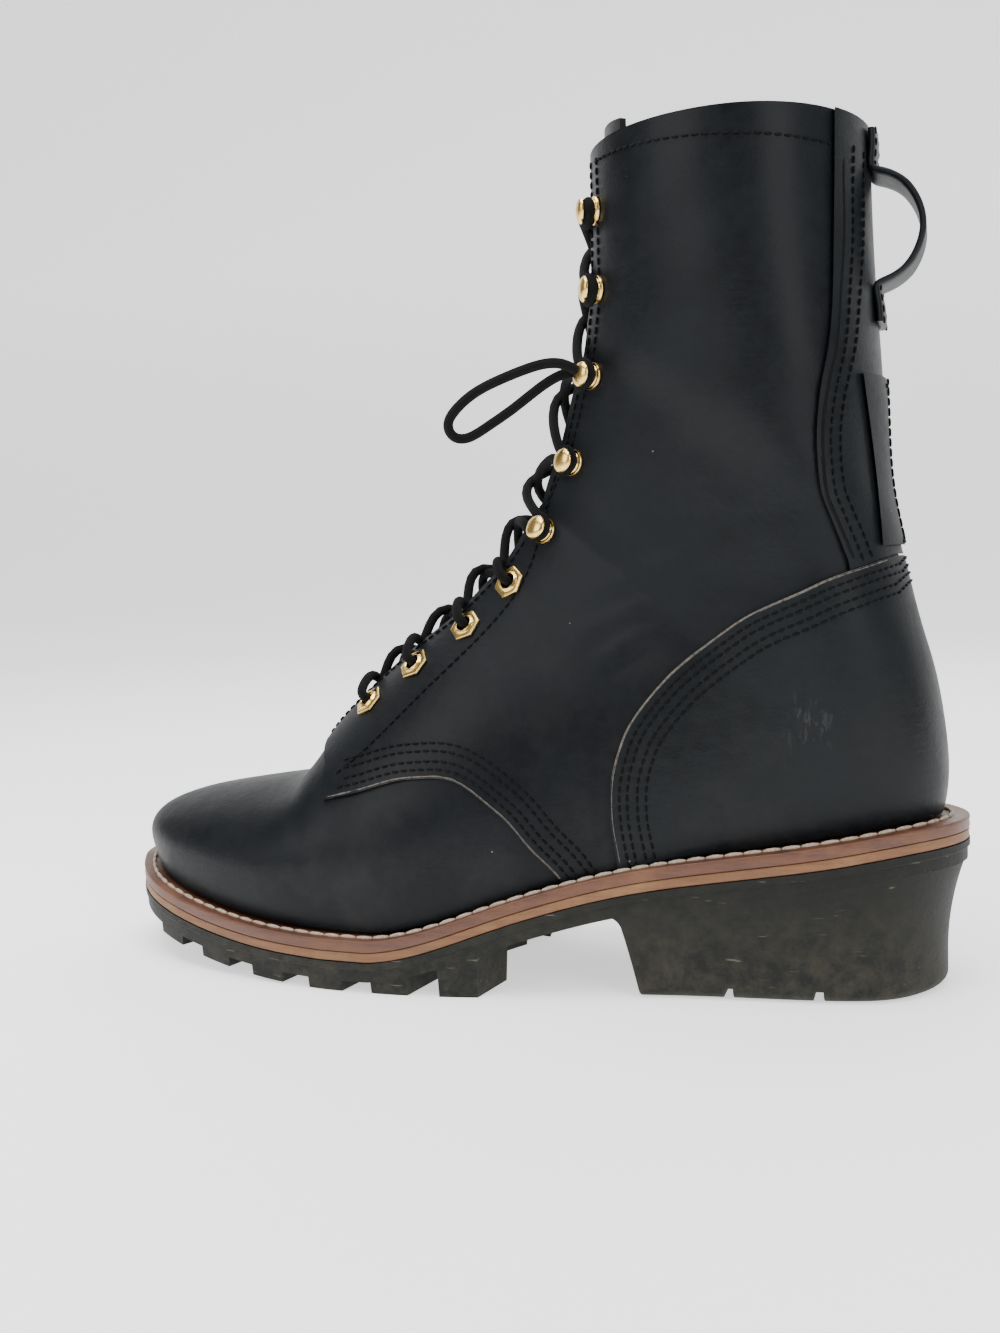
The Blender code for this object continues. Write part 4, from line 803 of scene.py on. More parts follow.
def thread(name, dark, pale):
    made = Finish(name, Roughness=0.6, Specular_IOR_Level=0.12)
    made.colour(made.mix(made.range(made.noise(1500.0, 3.0, 0.7), 0.35, 0.7), dark, pale))
    made.bump(made.noise(2200.0, 3.0, 0.7), 0.0001, 0.8)
    return made.made


def edge_leather(name, dark, middle, pale, rough):
    made = Finish(name, Roughness=rough, Coat_Weight=0.15, Coat_Roughness=0.35)
    grain = made.noise(260.0, 6.0, 0.7, made.stretch((0.14, 0.3, 2.4)))
    patches = made.noise(32.0, 5.0, 0.65)
    tone = made.mix(made.range(grain, 0.30, 0.70), dark, middle)
    tone = made.mix(made.range(patches, 0.50, 0.80, 0.0, 0.75), tone, pale)
    made.colour(tone)
    made.roughness(made.range(patches, 0.3, 0.8, rough - 0.1, rough + 0.2))
    made.bump(made.sum(grain, made.noise(500.0, 4.0, 0.7)), 0.00035, 0.7)
    return made.made


# %% Rubber, brass and lace
def dusty_rubber():
    made = Finish("dusty_rubber", Roughness=0.72, Specular_IOR_Level=0.22)
    patches = made.noise(24.0, 8.0, 0.72)
    fine = made.noise(170.0, 6.0, 0.75)
    dirt = made.sum(made.range(patches, 0.42, 0.72), made.range(fine, 0.30, 0.75), "MULTIPLY")
    tone = made.mix(made.range(patches, 0.3, 0.7), (0.0030, 0.0035, 0.0034), (0.0070, 0.0078, 0.0066))
    tone = made.mix(made.sum(dirt, 0.62, "MULTIPLY"), tone, (0.044, 0.040, 0.027))
    low = made.sum(made.height(0.0, 0.035), made.range(fine, 0.40, 0.75), "MULTIPLY")
    tone = made.mix(made.sum(low, 0.50, "MULTIPLY"), tone, (0.075, 0.069, 0.048))
    scratches = made.range(made.noise(260.0, 2.0, 0.5, made.stretch((0.3, 1.0, 3.0), (0.3, 0.7, 0.0))), 0.70, 0.76)
    tone = made.mix(made.sum(scratches, 0.35, "MULTIPLY"), tone, (0.20, 0.19, 0.15))
    made.colour(tone)
    made.roughness(made.range(dirt, 0.0, 1.0, 0.55, 0.92))
    made.bump(made.sum(made.noise(420.0, 6.0, 0.75), made.sum(patches, 2.0, "MULTIPLY")), 0.00035, 0.8)
    return made.made


def worn_brass():
    made = Finish("worn_brass", Metallic=1.0, Roughness=0.2)
    tarnish = made.noise(300.0, 4.0, 0.6)
    made.colour(made.mix(made.range(tarnish, 0.4, 0.75), (0.93, 0.66, 0.22), (0.62, 0.36, 0.09)))
    made.roughness(made.range(tarnish, 0.3, 0.8, 0.14, 0.38))
    made.bump(made.noise(900.0, 3.0, 0.6), 0.00006, 0.5)
    return made.made


def woven_lace():
    made = Finish("woven_lace", Roughness=0.95, Sheen_Weight=0.02, Sheen_Roughness=0.5, Specular_IOR_Level=0.15)
    along = made.tree.nodes.new("ShaderNodeTexCoord").outputs["UV"]
    weave = []
    for turn in (0.62, -0.62):
        wave = made.node("ShaderNodeTexWave", bands_direction="X", Scale=1.0, Distortion=0.6, Detail=1.0)
        made.join(made.stretch((420.0, 14.0, 1.0), (0.0, 0.0, turn), along), wave.inputs["Vector"])
        weave.append(wave.outputs["Fac"])
    braid = made.sum(weave[0], weave[1], "MAXIMUM")
    fuzz = made.noise(1600.0, 4.0, 0.8)
    tone = made.mix(made.range(made.sum(braid, fuzz), 0.6, 1.6), (0.0008, 0.0008, 0.0010), (0.0075, 0.0074, 0.0082))
    made.colour(tone)
    made.bump(made.sum(braid, fuzz), 0.0005, 0.8)
    return made.made


# %% The boot's finishes
BLACK_LEATHER = oiled_leather("black_leather", (0.0015, 0.0021, 0.0031), (0.0044, 0.0056, 0.0074))
OVERLAY_LEATHER = oiled_leather("overlay_leather", (0.0016, 0.0025, 0.0034), (0.0050, 0.0066, 0.0080), 0.09)
# The tongue's leather is the same oiled leather in a lighter tone; the lighter tone is painted sheen for the light on
# the tongue.
TONGUE_LEATHER_PAINTED_SHEEN = oiled_leather("tongue_leather_painted_sheen", (0.0035, 0.0039, 0.0045), (0.0080, 0.0088, 0.0096))
RAW_EDGE = raw_edge()
BLACK_THREAD = thread("black_thread", (0.0006, 0.0006, 0.0008), (0.0030, 0.0030, 0.0038))
CREAM_THREAD = thread("cream_thread", (0.32, 0.24, 0.18), (0.62, 0.52, 0.42))
WELT_FINISH = edge_leather("welt_leather_edge", (0.055, 0.016, 0.006), (0.125, 0.040, 0.014), (0.20, 0.085, 0.032), 0.5)
MIDSOLE_FINISH = edge_leather("midsole_edge", (0.11, 0.042, 0.014), (0.21, 0.090, 0.030), (0.32, 0.19, 0.085), 0.62)
INSOLE_FINISH = edge_leather("insole_board_worn", (0.12, 0.075, 0.04), (0.22, 0.14, 0.08), (0.30, 0.21, 0.13), 0.75)
RUBBER_FINISH = dusty_rubber()
BRASS_FINISH = worn_brass()
LACE_FINISH = woven_lace()
print("finishes:", len(bpy.data.materials))

# %% [markdown]
# ## Leathers
#
# Each leather is a shell between two distances off the last. It could be modelled by hand and projected, but the
# panels share one surface, so it is simpler to make each as a fine grid and cut it to its outline, as a clicker
# cuts hide with a die. The cut faces take the raw edge's finish.


# %% Mesh helpers
def keep(name, mesh, *finishes):
    """An object from a finished mesh, with its finishes."""
    made = bpy.data.objects.new(name, mesh)
    bpy.context.scene.collection.objects.link(made)
    mesh.materials.clear()
    for finish in finishes:
        mesh.materials.append(finish)
    mesh.name = name
    return made


def mesh_of(name, points, faces, finish_numbers=None, smooth_angle=40.0):
    """A welded mesh with its faces outwards, smooth but for its sharp edges."""
    mesh = bpy.data.meshes.new(name)
    mesh.from_pydata([tuple(map(float, p)) for p in points], [], faces)
    if finish_numbers is not None:
        mesh.polygons.foreach_set("material_index", finish_numbers)
    shape = bmesh.new()
    shape.from_mesh(mesh)
    bmesh.ops.remove_doubles(shape, verts=shape.verts, dist=MERGE)
    bmesh.ops.recalc_face_normals(shape, faces=shape.faces)
    shape.to_mesh(mesh)
    shape.free()
    mesh.shade_smooth()
    mesh.set_sharp_from_angle(angle=math.radians(smooth_angle))
    return mesh


def join_shapes(shapes):
    """One list of points and one of faces from several."""
    points, faces = [], []
    for more_points, more_faces in shapes:
        base = len(points)
        points += [tuple(p) for p in more_points]
        faces += [tuple(base + i for i in face) for face in more_faces]
    return points, faces


def dress(piece, slot, *nodes):
    """Let a piece ride on the boot, in place of plain solids."""
    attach(piece, "root")
    if nodes:
        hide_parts(*nodes)


# %% Leather shell
def leather_shell(name, rows, outer, inner, columns, finish):
    """A leather between two distances off the last, from the feather or back seam to the facing's edge."""
    rows = np.asarray(rows, float)
    levels, width = len(rows), columns + 1
    t = np.repeat(rows[:, None], width, axis=1)
    even = np.linspace(0.0, 1.0, width)[None, :]
    layers = []
    for offset in (outer, inner):
        for side in (-1, 1):
            start = feather_share(rows, side)[:, None]
            a = start + (facing_edge(rows)[:, None] - start) * even
            layers.append(leather_point(t, a, side, offset).reshape(-1, 3))
    points = np.concatenate(layers)
    block = levels * width
    faces, marks = [], []
    for layer in range(4):
        flip = layer in (1, 2)
        for i in range(levels - 1):
            for j in range(width - 1):
                s = layer * block + i * width + j
                face = (s, s + 1, s + width + 1, s + width)
                faces.append(face[::-1] if flip else face)
                marks.append(0)
    for half in range(2):
        out, back = half * block, (2 + half) * block
        for i in range(levels - 1):
            if rows[i + 1] <= HEEL_ROW + 0.001:
                p, q = i * width, (i + 1) * width
                faces.append((out + p, out + q, back + q, back + p))
                marks.append(1)
            if rows[i] >= THROAT_ROW - 0.001:
                p, q = i * width + columns, (i + 1) * width + columns
                faces.append((out + p, out + q, back + q, back + p))
                marks.append(1)
        for i in ([levels - 1] if rows[0] <= 0.0 else [0, levels - 1]):
            for j in range(width - 1):
                p = i * width + j
                faces.append((out + p, out + p + 1, back + p + 1, back + p))
                marks.append(1)
    return keep(name, mesh_of(name, points, faces, marks), finish, RAW_EDGE)


# %% Cutting
def side_cutter(outline, low_y, high_y):
    """Side-view outline as a block across the boot, cutting raw edges."""
    count = len(outline)
    points = [(x + PLACE[0], y + PLACE[1], z) for y in (low_y, high_y) for x, z in outline]
    faces = [tuple(range(count)), tuple(reversed(range(count, 2 * count)))]
    faces += [(i, (i + 1) % count, count + (i + 1) % count, count + i) for i in range(count)]
    return keep("cutter", mesh_of("cutter", points, faces), RAW_EDGE)


def cut(piece, cutter, operation):
    """Cut a piece, whose new faces take the cutter's finish."""
    finishes = list(piece.data.materials)
    blade = piece.modifiers.new("cut", "BOOLEAN")
    blade.operation = operation
    blade.solver = "EXACT"
    blade.material_mode = "TRANSFER"
    blade.object = cutter
    mesh = bpy.data.meshes.new_from_object(piece.evaluated_get(bpy.context.evaluated_depsgraph_get()))
    piece.modifiers.clear()
    piece.data = mesh
    mesh.name = piece.name
    mesh.shade_smooth()
    mesh.set_sharp_from_angle(angle=math.radians(38.0))
    bpy.data.objects.remove(cutter)
    print(piece.name, len(mesh.polygons), "faces,", len(mesh.materials), "finishes of", len(finishes))
    return piece


def side_curve(table, count):
    """A smooth side-view line through a table of shares."""
    places = [side_place(share) for share in table]
    return curve_through(places, count)


# Rows where the fan is tight at the heel seat, and where the throat opens.
SEAT_ROWS = (16.9, 18.1)
THROAT_ROWS = (8.2, 8.22, 8.26, 8.32, 8.4, 8.5, 8.6, 8.7)


def finer(low, high, step):
    """Row numbers between two rows, closer where the fan is tight at the heel seat and at the throat."""
    rows = list(np.arange(low, high, step)) + [high]
    more = [*np.arange(*SEAT_ROWS, step / 4.0), *THROAT_ROWS, HEEL_ROW]
    rows += [r for r in more if low < r < high]
    return np.array(sorted(set(np.round(rows, 4))))


# %% Overlay outlines
UPPER_WALL = 0.0020
QUARTER_THICKNESS = 0.0012
COUNTER_THICKNESS = 0.0015
BACKSTAY_THICKNESS = 0.0012
STRIP_THICKNESS = 0.0010
# Columns: share of the last's length from the heel, share of the collar's height.
QUARTER_EDGE = (
    (0.679, 0.228), (0.631, 0.240), (0.587, 0.254), (0.552, 0.259), (0.511, 0.256), (0.4715, 0.229),
    (0.448, 0.207), (0.424, 0.176), (0.401, 0.151), (0.382, 0.123),
)
COUNTER_EDGE = (
    (0.036, 0.5095), (0.072, 0.496), (0.106, 0.483), (0.134, 0.469), (0.177, 0.449), (0.213, 0.425),
    (0.252, 0.394), (0.281, 0.365), (0.311, 0.325), (0.3255, 0.292), (0.3335, 0.261), (0.336, 0.229),
    (0.3345, 0.198), (0.330, 0.167), (0.327, 0.131),
)
BACKSTAY_EDGE = (
    (0.0895, 1.050), (0.092, 0.853), (0.0957, 0.759), (0.1015, 0.719), (0.1066, 0.688), (0.1097, 0.653),
    (0.1097, 0.624), (0.107, 0.588), (0.100, 0.562), (0.089, 0.530), (0.081, 0.506),
)
STRIP_EDGE = ((0.065, 0.715), (0.0575, 0.643), (0.0515, 0.581), (0.0485, 0.545), (0.047, 0.522))
QUARTER_FRONT = ((0.689, 0.270), (0.712, 0.292), (0.735, 0.325))
FAR_BACK = HEEL_X + 0.03
FAR_TOP = COLLAR_HEIGHT + 0.03
EDGE_GAP = 0.0005
FACING_TOP = CLEARANCE + QUARTER_THICKNESS
OVERLAY = FACING_TOP + CLEARANCE

# %% Vamp and lining
GRID_COLUMNS = 44
upper = leather_shell("vamp_and_lining", finer(0.0, COLLAR_ROW, 0.22), 0.0, -UPPER_WALL, GRID_COLUMNS, BLACK_LEATHER)
print("upper", len(upper.data.polygons), "faces")

# %% Quarters
quarter_edge = side_curve(QUARTER_EDGE, 110)
quarters = {}
for side, word in ((-1, "lateral"), (1, "medial")):
    rows = finer(THROAT_ROW, COLLAR_ROW, 0.2)
    shell = leather_shell("shaft_" + word, rows, FACING_TOP, CLEARANCE, GRID_COLUMNS, BLACK_LEATHER)
    outline = [tuple(p) for p in quarter_edge]
    sole = float(sole_top(outline[-1][0])) - 0.010
    outline += [(outline[-1][0], sole), (FAR_BACK, sole), (FAR_BACK, FAR_TOP), (TOE_X, FAR_TOP)]
    outline += [tuple(side_place(share)) for share in reversed(QUARTER_FRONT)]
    low, high = sorted((side * EDGE_GAP / 2.0, side * SHAFT_WIDTH))
    quarters[side] = cut(shell, side_cutter(outline, low, high), "INTERSECT")

# %% Counter, backstay and back strip
def panel(name, rows, top, base, outline):
    """A leather round the back of the boot, cut to its side-view outline."""
    shell = leather_shell(name, finer(*rows, 0.2), top, base, GRID_COLUMNS, OVERLAY_LEATHER)
    return cut(shell, side_cutter(outline, -SHAFT_WIDTH, SHAFT_WIDTH), "INTERSECT")


counter_edge = side_curve(COUNTER_EDGE, 130)
COUNTER_TOP = OVERLAY + COUNTER_THICKNESS
outline = [(FAR_BACK, counter_edge[0][1])] + [tuple(p) for p in counter_edge]
outline += [(counter_edge[-1][0], FOREFOOT_HEIGHT), (FAR_BACK, FOREFOOT_HEIGHT)]
counter = panel("heel_counter", (11.0, 24.5), COUNTER_TOP, OVERLAY, outline)

backstay_edge = side_curve(BACKSTAY_EDGE, 90)
BACKSTAY_TOP = OVERLAY + BACKSTAY_THICKNESS
lower = [(x, z + EDGE_GAP) for x, z in counter_edge if x > backstay_edge[-1][0]]
outline = [tuple(p) for p in backstay_edge] + lower[::-1] + [(FAR_BACK, lower[0][1]), (FAR_BACK, backstay_edge[0][1])]
backstay = panel("back_stay", (21.5, COLLAR_ROW), BACKSTAY_TOP, OVERLAY, outline)

strip_edge = side_curve(STRIP_EDGE, 40)
STRIP_BASE = BACKSTAY_TOP + CLEARANCE
STRIP_TOP = STRIP_BASE + STRIP_THICKNESS
outline = [tuple(p) for p in strip_edge] + [(FAR_BACK, strip_edge[-1][1]), (FAR_BACK, strip_edge[0][1])]
strip = panel("back_seam_strip", (22.0, 28.0), STRIP_TOP, STRIP_BASE, outline)


# %% Tongue
TONGUE_THICKNESS = 0.0022
TONGUE_RISE = 0.008
TONGUE_LAP = 0.017
TONGUE_GAP = 0.0011
TONGUE_COLUMNS = 16


def sheet_solid(name, front, back, *finishes):
    """A closed sheet between two matching grids of points."""
    levels, width = front.shape[:2]
    block = levels * width
    points = np.concatenate([front.reshape(-1, 3), back.reshape(-1, 3)])
    faces = []
    for i in range(levels - 1):
        for j in range(width - 1):
            p = i * width + j
            faces.append((p, p + 1, p + width + 1, p + width))
            faces.append((block + p + width, block + p + width + 1, block + p + 1, block + p))
    ring = list(range(width)) + [i * width + width - 1 for i in range(1, levels)]
    ring += [(levels - 1) * width + j for j in range(width - 2, -1, -1)] + [i * width for i in range(levels - 2, 0, -1)]
    for k, p in enumerate(ring):
        q = ring[(k + 1) % len(ring)]
        faces.append((p, q, block + q, block + p))
    return keep(name, mesh_of(name, points, faces), *finishes)


def make_tongue():
    """A sheet under both facings, a little rumpled, whose top stands above the collar."""
    rows = finer(6.2, COLLAR_ROW, 0.2)
    top = -UPPER_WALL - TONGUE_GAP
    half = throat_half_gap(rows) + TONGUE_LAP * smoothstep(4.0, 9.0, rows)
    inner_share = reach_of(rows, half)
    layers = []
    for offset in (top, top - TONGUE_THICKNESS):
        grid = []
        for side in (-1, 1):
            a = inner_share[:, None] + (1.0 - inner_share)[:, None] * np.linspace(0.0, 1.0, TONGUE_COLUMNS)
            t = np.repeat(rows[:, None], TONGUE_COLUMNS, axis=1)
            dip = -0.0006 * np.abs(np.sin(t * 3.1 + 2.0 * a)) * smoothstep(9.0, 12.0, t)
            points = leather_point(t, a, side, offset + dip)
            grid.append(points if side < 0 else points[:, ::-1][:, 1:])
        sheet = np.concatenate(grid, axis=1)
        across = np.linspace(-1.0, 1.0, sheet.shape[1])
        risen = [sheet]
        for share in (0.25, 0.5, 0.75, 0.93, 1.0):
            lift = TONGUE_RISE * share * (1.0 - 0.25 * np.abs(across) ** 3)
            risen.append((sheet[-1] + lift[:, None] * np.array((0.0, 0.0, 1.0)))[None])
        layers.append(np.concatenate(risen, axis=0))
    # The tongue takes the lighter leather, whose lighter tone is painted sheen.
    return sheet_solid("leather_tongue", layers[0], layers[1], TONGUE_LEATHER_PAINTED_SHEEN)


tongue = make_tongue()
leathers = (
    (upper, "upper"), (quarters[-1], "quarter_lateral"), (quarters[1], "quarter_medial"), (counter, "counter"),
    (backstay, "backstay"), (strip, "back_strip"), (tongue, "tongue"),
)
for piece, node in leathers:
    dress(piece, "leather", node)
print("leathers:", len(leathers))

# %% [markdown]
# ## Welt, midsole and outsole
#
# The welt and the midsole are strips that follow the foot's outline, so each is one small profile swept round it.
# The rubber below is a plate with lugs and a heel whose lower edge is rounded, as a mould leaves it, joined into one.


# %% Strips round the foot
WELT_THICKNESS = 0.0040
WELT_OVERHANG = 0.0070
HEEL_OVERHANG = 0.0118
WELT_LAP = 0.0100
MIDSOLE_THICKNESS = 0.0026
LAYER_GAP = 0.0006


def rim(toe_side, heel_side, drop):
    """The outline moved outwards, at a depth below the welt's top."""
    moved = moved_out(toe_side, heel_side)
    return np.column_stack([moved, sole_top(moved[:, 0]) - drop]) + PLACE


def swept_strip(name, profile, finish):
    """A closed profile of (toe-side offset, heel-side offset, depth) swept round the outline."""
    rings = [rim(*row) for row in profile]
    count, levels = len(rings[0]), len(rings)
    faces = []
    for k in range(levels):
        for i in range(count):
            a, b = k * count + i, k * count + (i + 1) % count
            c = (k + 1) % levels * count
            faces.append((a, b, c + (i + 1) % count, c + i))
    return keep(name, mesh_of(name, np.concatenate(rings), faces, smooth_angle=50.0), finish)


EDGE_HOLLOW = 0.0002


def strip_profile(outer, heel, top, thickness, inner, soft=0.0006):
    """Half-round outer corners, a slightly hollow edge and a square inner side."""
    low = top + thickness
    turns = [(soft * (1.0 - math.sin(a)), soft * (1.0 - math.cos(a))) for a in (0.0, math.pi / 4.0, math.pi / 2.0)]
    rows = [(outer - back, heel - back, top + down) for back, down in turns]
    rows.append((outer - EDGE_HOLLOW, heel - EDGE_HOLLOW, (top + low) / 2.0))
    rows += [(outer - back, heel - back, low - up) for up, back in turns]
    return rows + [(inner, inner, low), (inner, inner, top)]


# %% Welt and midsole
MIDSOLE_STEP = 0.0002
MIDSOLE_TOP = WELT_THICKNESS + 0.0001
MIDSOLE_DEPTH = MIDSOLE_THICKNESS + LAYER_GAP
profile = strip_profile(WELT_OVERHANG, HEEL_OVERHANG, 0.0, WELT_THICKNESS, -WELT_LAP)
welt = swept_strip("stitched_welt", profile, WELT_FINISH)
edges = WELT_OVERHANG - MIDSOLE_STEP, HEEL_OVERHANG - MIDSOLE_STEP
profile = strip_profile(*edges, MIDSOLE_TOP, MIDSOLE_DEPTH, -WELT_LAP, 0.0004)
midsole = swept_strip("leather_midsole", profile, MIDSOLE_FINISH)
dress(welt, "welt_leather", "welt")
dress(midsole, "midsole_leather", "midsole")
print("welt", len(welt.data.polygons), "faces")


# %% Rubber plate
RUBBER_THICKNESS = 0.0066
RUBBER_LIP = 0.0022
LIP_STEP = 0.0007
BREAST_FROM_HEEL = 0.0965
BREAST_SLANT = 0.0070
BREAST_FILLET = 0.0070
HEEL_INSET = 0.0062
HEEL_ROUNDING = 0.020
HEEL_EDGE_RADIUS = 0.0050
HEEL_TREAD_DEPTH = 0.0040
HEEL_TREAD_WIDTH = 0.0045
RUBBER_TOP = WELT_THICKNESS + LAYER_GAP + MIDSOLE_THICKNESS + CLEARANCE
RUBBER_BOTTOM = RUBBER_TOP + RUBBER_THICKNESS


def sole_plan(toe_side, heel_side, drop, stations=110):
    """Lateral and medial edges of a layer of the sole, closer together at toe and heel."""
    lateral, medial = widened(toe_side, heel_side)
    share = (1.0 - np.cos(np.linspace(0.0, math.pi, stations + 1))) / 2.0
    x = lateral[0, 0] + (lateral[-1, 0] - lateral[0, 0]) * share
    return [np.stack([x, edge_y(edge, x), sole_top(x) - drop], axis=1) for edge in (lateral, medial)]


def plan_solid(name, plans):
    """A solid between plans from top to bottom, each a lateral and a medial edge."""
    points = np.concatenate([edge for plan in plans for edge in plan]) + PLACE
    count, levels = len(plans[0][0]), len(plans)
    size = 2 * count
    faces = []
    for k in range(levels - 1):
        upper_ring, lower_ring = k * size, (k + 1) * size
        for i in range(count - 1):
            faces.append((upper_ring + i, upper_ring + i + 1, lower_ring + i + 1, lower_ring + i))
            p, q = upper_ring + count + i, lower_ring + count + i
            faces.append((p + 1, p, q, q + 1))
        faces.append((upper_ring + count, upper_ring, lower_ring, lower_ring + count))
        far, low = upper_ring + size - 1, lower_ring + size - 1
        faces.append((upper_ring + count - 1, far, low, lower_ring + count - 1))
    for start in (0, (levels - 1) * size):
        for i in range(count - 1):
            faces.append((start + i, start + i + 1, start + count + i + 1, start + count + i))
    return keep(name, mesh_of(name, points, faces), RUBBER_FINISH)


# %% Lugs
LUG_PITCH = 0.0235
LUG_GROOVE = 0.0100
LUG_WIDTH = 0.0210
CENTRE_LUG_WIDTH = 0.0160


def lug_bottom(x):
    """Height of a lug's tread: the floor, or the toe spring above it."""
    rise = np.maximum(sole_top(x) - FOREFOOT_HEIGHT, 0.0)
    return rise * (np.asarray(x) < HEEL_X - 0.6 * LAST_LENGTH)


def lug_shape(corners):
    """Points and faces of one lug, a little smaller at its tread."""
    centre = np.mean(np.array(corners), axis=0)
    points = []
    for x, y in corners:
        small = centre + (np.array((x, y)) - centre) * 0.94
        points.append((small[0] + PLACE[0], small[1] + PLACE[1], float(lug_bottom(small[0]))))
    for x, y in corners:
        points.append((x + PLACE[0], y + PLACE[1], float(sole_top(x)) - RUBBER_BOTTOM + RUBBER_THICKNESS / 3.0))
    count = len(corners)
    faces = [tuple(range(count)), tuple(reversed(range(count, 2 * count)))]
    faces += [((i + 1) % count, i, count + i, count + (i + 1) % count) for i in range(count)]
    return points, faces


def make_lugs():
    """Edge lugs down both sides of the forefoot and arrow lugs between them."""
    edges = widened(WELT_OVERHANG - LIP_STEP - CLEARANCE, HEEL_OVERHANG)
    start, toe = HEEL_X - 0.482 * LAST_LENGTH, edges[0][0, 0]
    count = int((start - toe - 0.3 * LUG_PITCH) / LUG_PITCH)
    shapes = []
    for side, edge in zip((-1, 1), edges):
        for k in range(count):
            back = start - k * LUG_PITCH
            front = max(back - (LUG_PITCH - LUG_GROOVE), toe + 0.004)
            inward = min(LUG_WIDTH, 0.42 * (abs(float(edge_y(edge, front))) + 0.3 * LUG_WIDTH))
            corners = [(x, float(edge_y(edge, x))) for x in np.linspace(back, front, 7)]
            slant = 0.18 * LUG_WIDTH
            corners += [(front + slant, corners[-1][1] - side * inward), (back + slant, corners[0][1] - side * inward)]
            shapes.append(lug_shape(corners))
    for k in range(count - 1):
        back = start - 0.006 - k * LUG_PITCH
        front = back - (LUG_PITCH - LUG_GROOVE)
        lateral = float(edge_y(edges[0], back)) + LUG_WIDTH + 0.007
        medial = float(edge_y(edges[1], back)) - LUG_WIDTH - 0.007
        middle, half = (lateral + medial) / 2.0, min(CENTRE_LUG_WIDTH, (medial - lateral) / 2.0)
        shapes.append(lug_shape([
            (back + 0.004, middle - half), (back - 0.004, middle), (back + 0.004, middle + half),
            (front + 0.004, middle + half), (front - 0.004, middle), (front + 0.004, middle - half),
        ]))
    return keep("lugs", mesh_of("lugs", *join_shapes(shapes)), RUBBER_FINISH)


# %% Heel
def heel_plan(depth_share, extra):
    """Edges of the heel at a share of its depth: tapered, rounded behind and with a fillet at its breast."""
    lateral, medial = widened(WELT_OVERHANG - LIP_STEP, HEEL_OVERHANG - LIP_STEP)
    taper = HEEL_INSET * (1.0 - (1.0 - min(depth_share / 0.75, 1.0)) ** 2) + extra
    back = lateral[-1, 0] - taper
    fillet = max(1.0 - depth_share / 0.22, 0.0)
    breast = HEEL_X - BREAST_FROM_HEEL + BREAST_SLANT * depth_share
    breast -= BREAST_FILLET * (1.0 - math.sqrt(max(1.0 - fillet * fillet, 0.0)))
    x = breast + (back - breast) * np.sin(np.linspace(0.0, math.pi / 2.0, 60))
    squeeze = np.clip((back - x) / HEEL_ROUNDING, 0.0, 1.0)
    edges = []
    for side, edge in zip((-1, 1), (lateral, medial)):
        y = edge_y(edge, np.minimum(x + taper * (1.0 - squeeze), lateral[-1, 0]))
        narrowed = y - side * (0.35 * taper + 0.65 * extra) * np.sqrt(squeeze)
        top = sole_top(x) - RUBBER_BOTTOM + RUBBER_THICKNESS / 3.0
        edges.append(np.stack([x, narrowed, top * (1.0 - depth_share)], axis=1))
        edges[-1][-1, 1] = 0.0
    return edges


# %% Outsole
def make_rubber():
    """Plate, lugs and heel joined into one moulding, with two grooves across the heel."""
    lip = RUBBER_TOP + RUBBER_LIP
    side, heel_side = WELT_OVERHANG - LIP_STEP, HEEL_OVERHANG - LIP_STEP
    rubber = plan_solid("lugged_outsole", [
        sole_plan(WELT_OVERHANG, HEEL_OVERHANG, RUBBER_TOP), sole_plan(WELT_OVERHANG, HEEL_OVERHANG, lip),
        sole_plan(side, heel_side, lip + LIP_STEP), sole_plan(side, heel_side, RUBBER_BOTTOM),
    ])
    round_share = HEEL_EDGE_RADIUS / HEEL_HEIGHT
    shares = list(np.linspace(0.0, 0.2, 9)) + list(np.linspace(0.25, 1.0 - round_share, 12))
    plans = [heel_plan(share, 0.0) for share in shares]
    for angle in np.linspace(0.2, math.pi / 2.0, 7):
        plans.append(heel_plan(1.0 - round_share * (1.0 - math.sin(angle)), HEEL_EDGE_RADIUS * (1.0 - math.cos(angle))))
    heel = plan_solid("heel", plans)
    for distance in (0.034, 0.062):
        x, half = HEEL_X - distance, 0.5 * HEEL_TREAD_WIDTH
        outline = [(x - half, -0.01), (x + half, -0.01)]
        outline += [(x + 0.7 * half, HEEL_TREAD_DEPTH), (x - 0.7 * half, HEEL_TREAD_DEPTH)]
        cut(heel, side_cutter(outline, -BALL_WIDTH, BALL_WIDTH), "DIFFERENCE")
    cut(rubber, make_lugs(), "UNION")
    cut(rubber, heel, "UNION")
    return rubber


rubber = make_rubber()
rubber.data.materials.clear()
rubber.data.materials.append(RUBBER_FINISH)
rubber.data.polygons.foreach_set("material_index", [0] * len(rubber.data.polygons))
dress(rubber, "rubber", "outsole")
print("rubber", len(rubber.data.polygons), "faces")

# %% Insole board
# The board's solid has its true shape, so it stays and only gets its finish.
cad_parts["insole"].data.materials.clear()
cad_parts["insole"].data.materials.append(INSOLE_FINISH)
print("insole:", len(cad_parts["insole"].data.polygons), "faces")

# %% [markdown]
# ## Eyelets and hooks
#
# Four hexagonal eyelets and five speed hooks run up each facing. Both are turned or pressed brass, so each is a
# few rings of points: the eyelet's outer rings are hexagons and its inner ones circles, rolled over the edge.

# %% Places on the facing
EYELET_ACROSS = 0.0105
EYELET_HOLE = 0.0050
EYELET_WALL = 0.0006
HOOK_DIAMETER = 0.0092
# Columns: row of the last, distance from the facing's edge.
EYELETS = ((10.13, 0.0130), (11.00, 0.0122), (12.28, 0.0105), (13.90, 0.0092))
HOOKS = ((16.30, 0.0085), (20.20, 0.0085), (22.60, 0.0085), (25.20, 0.0085), (27.25, 0.0085))


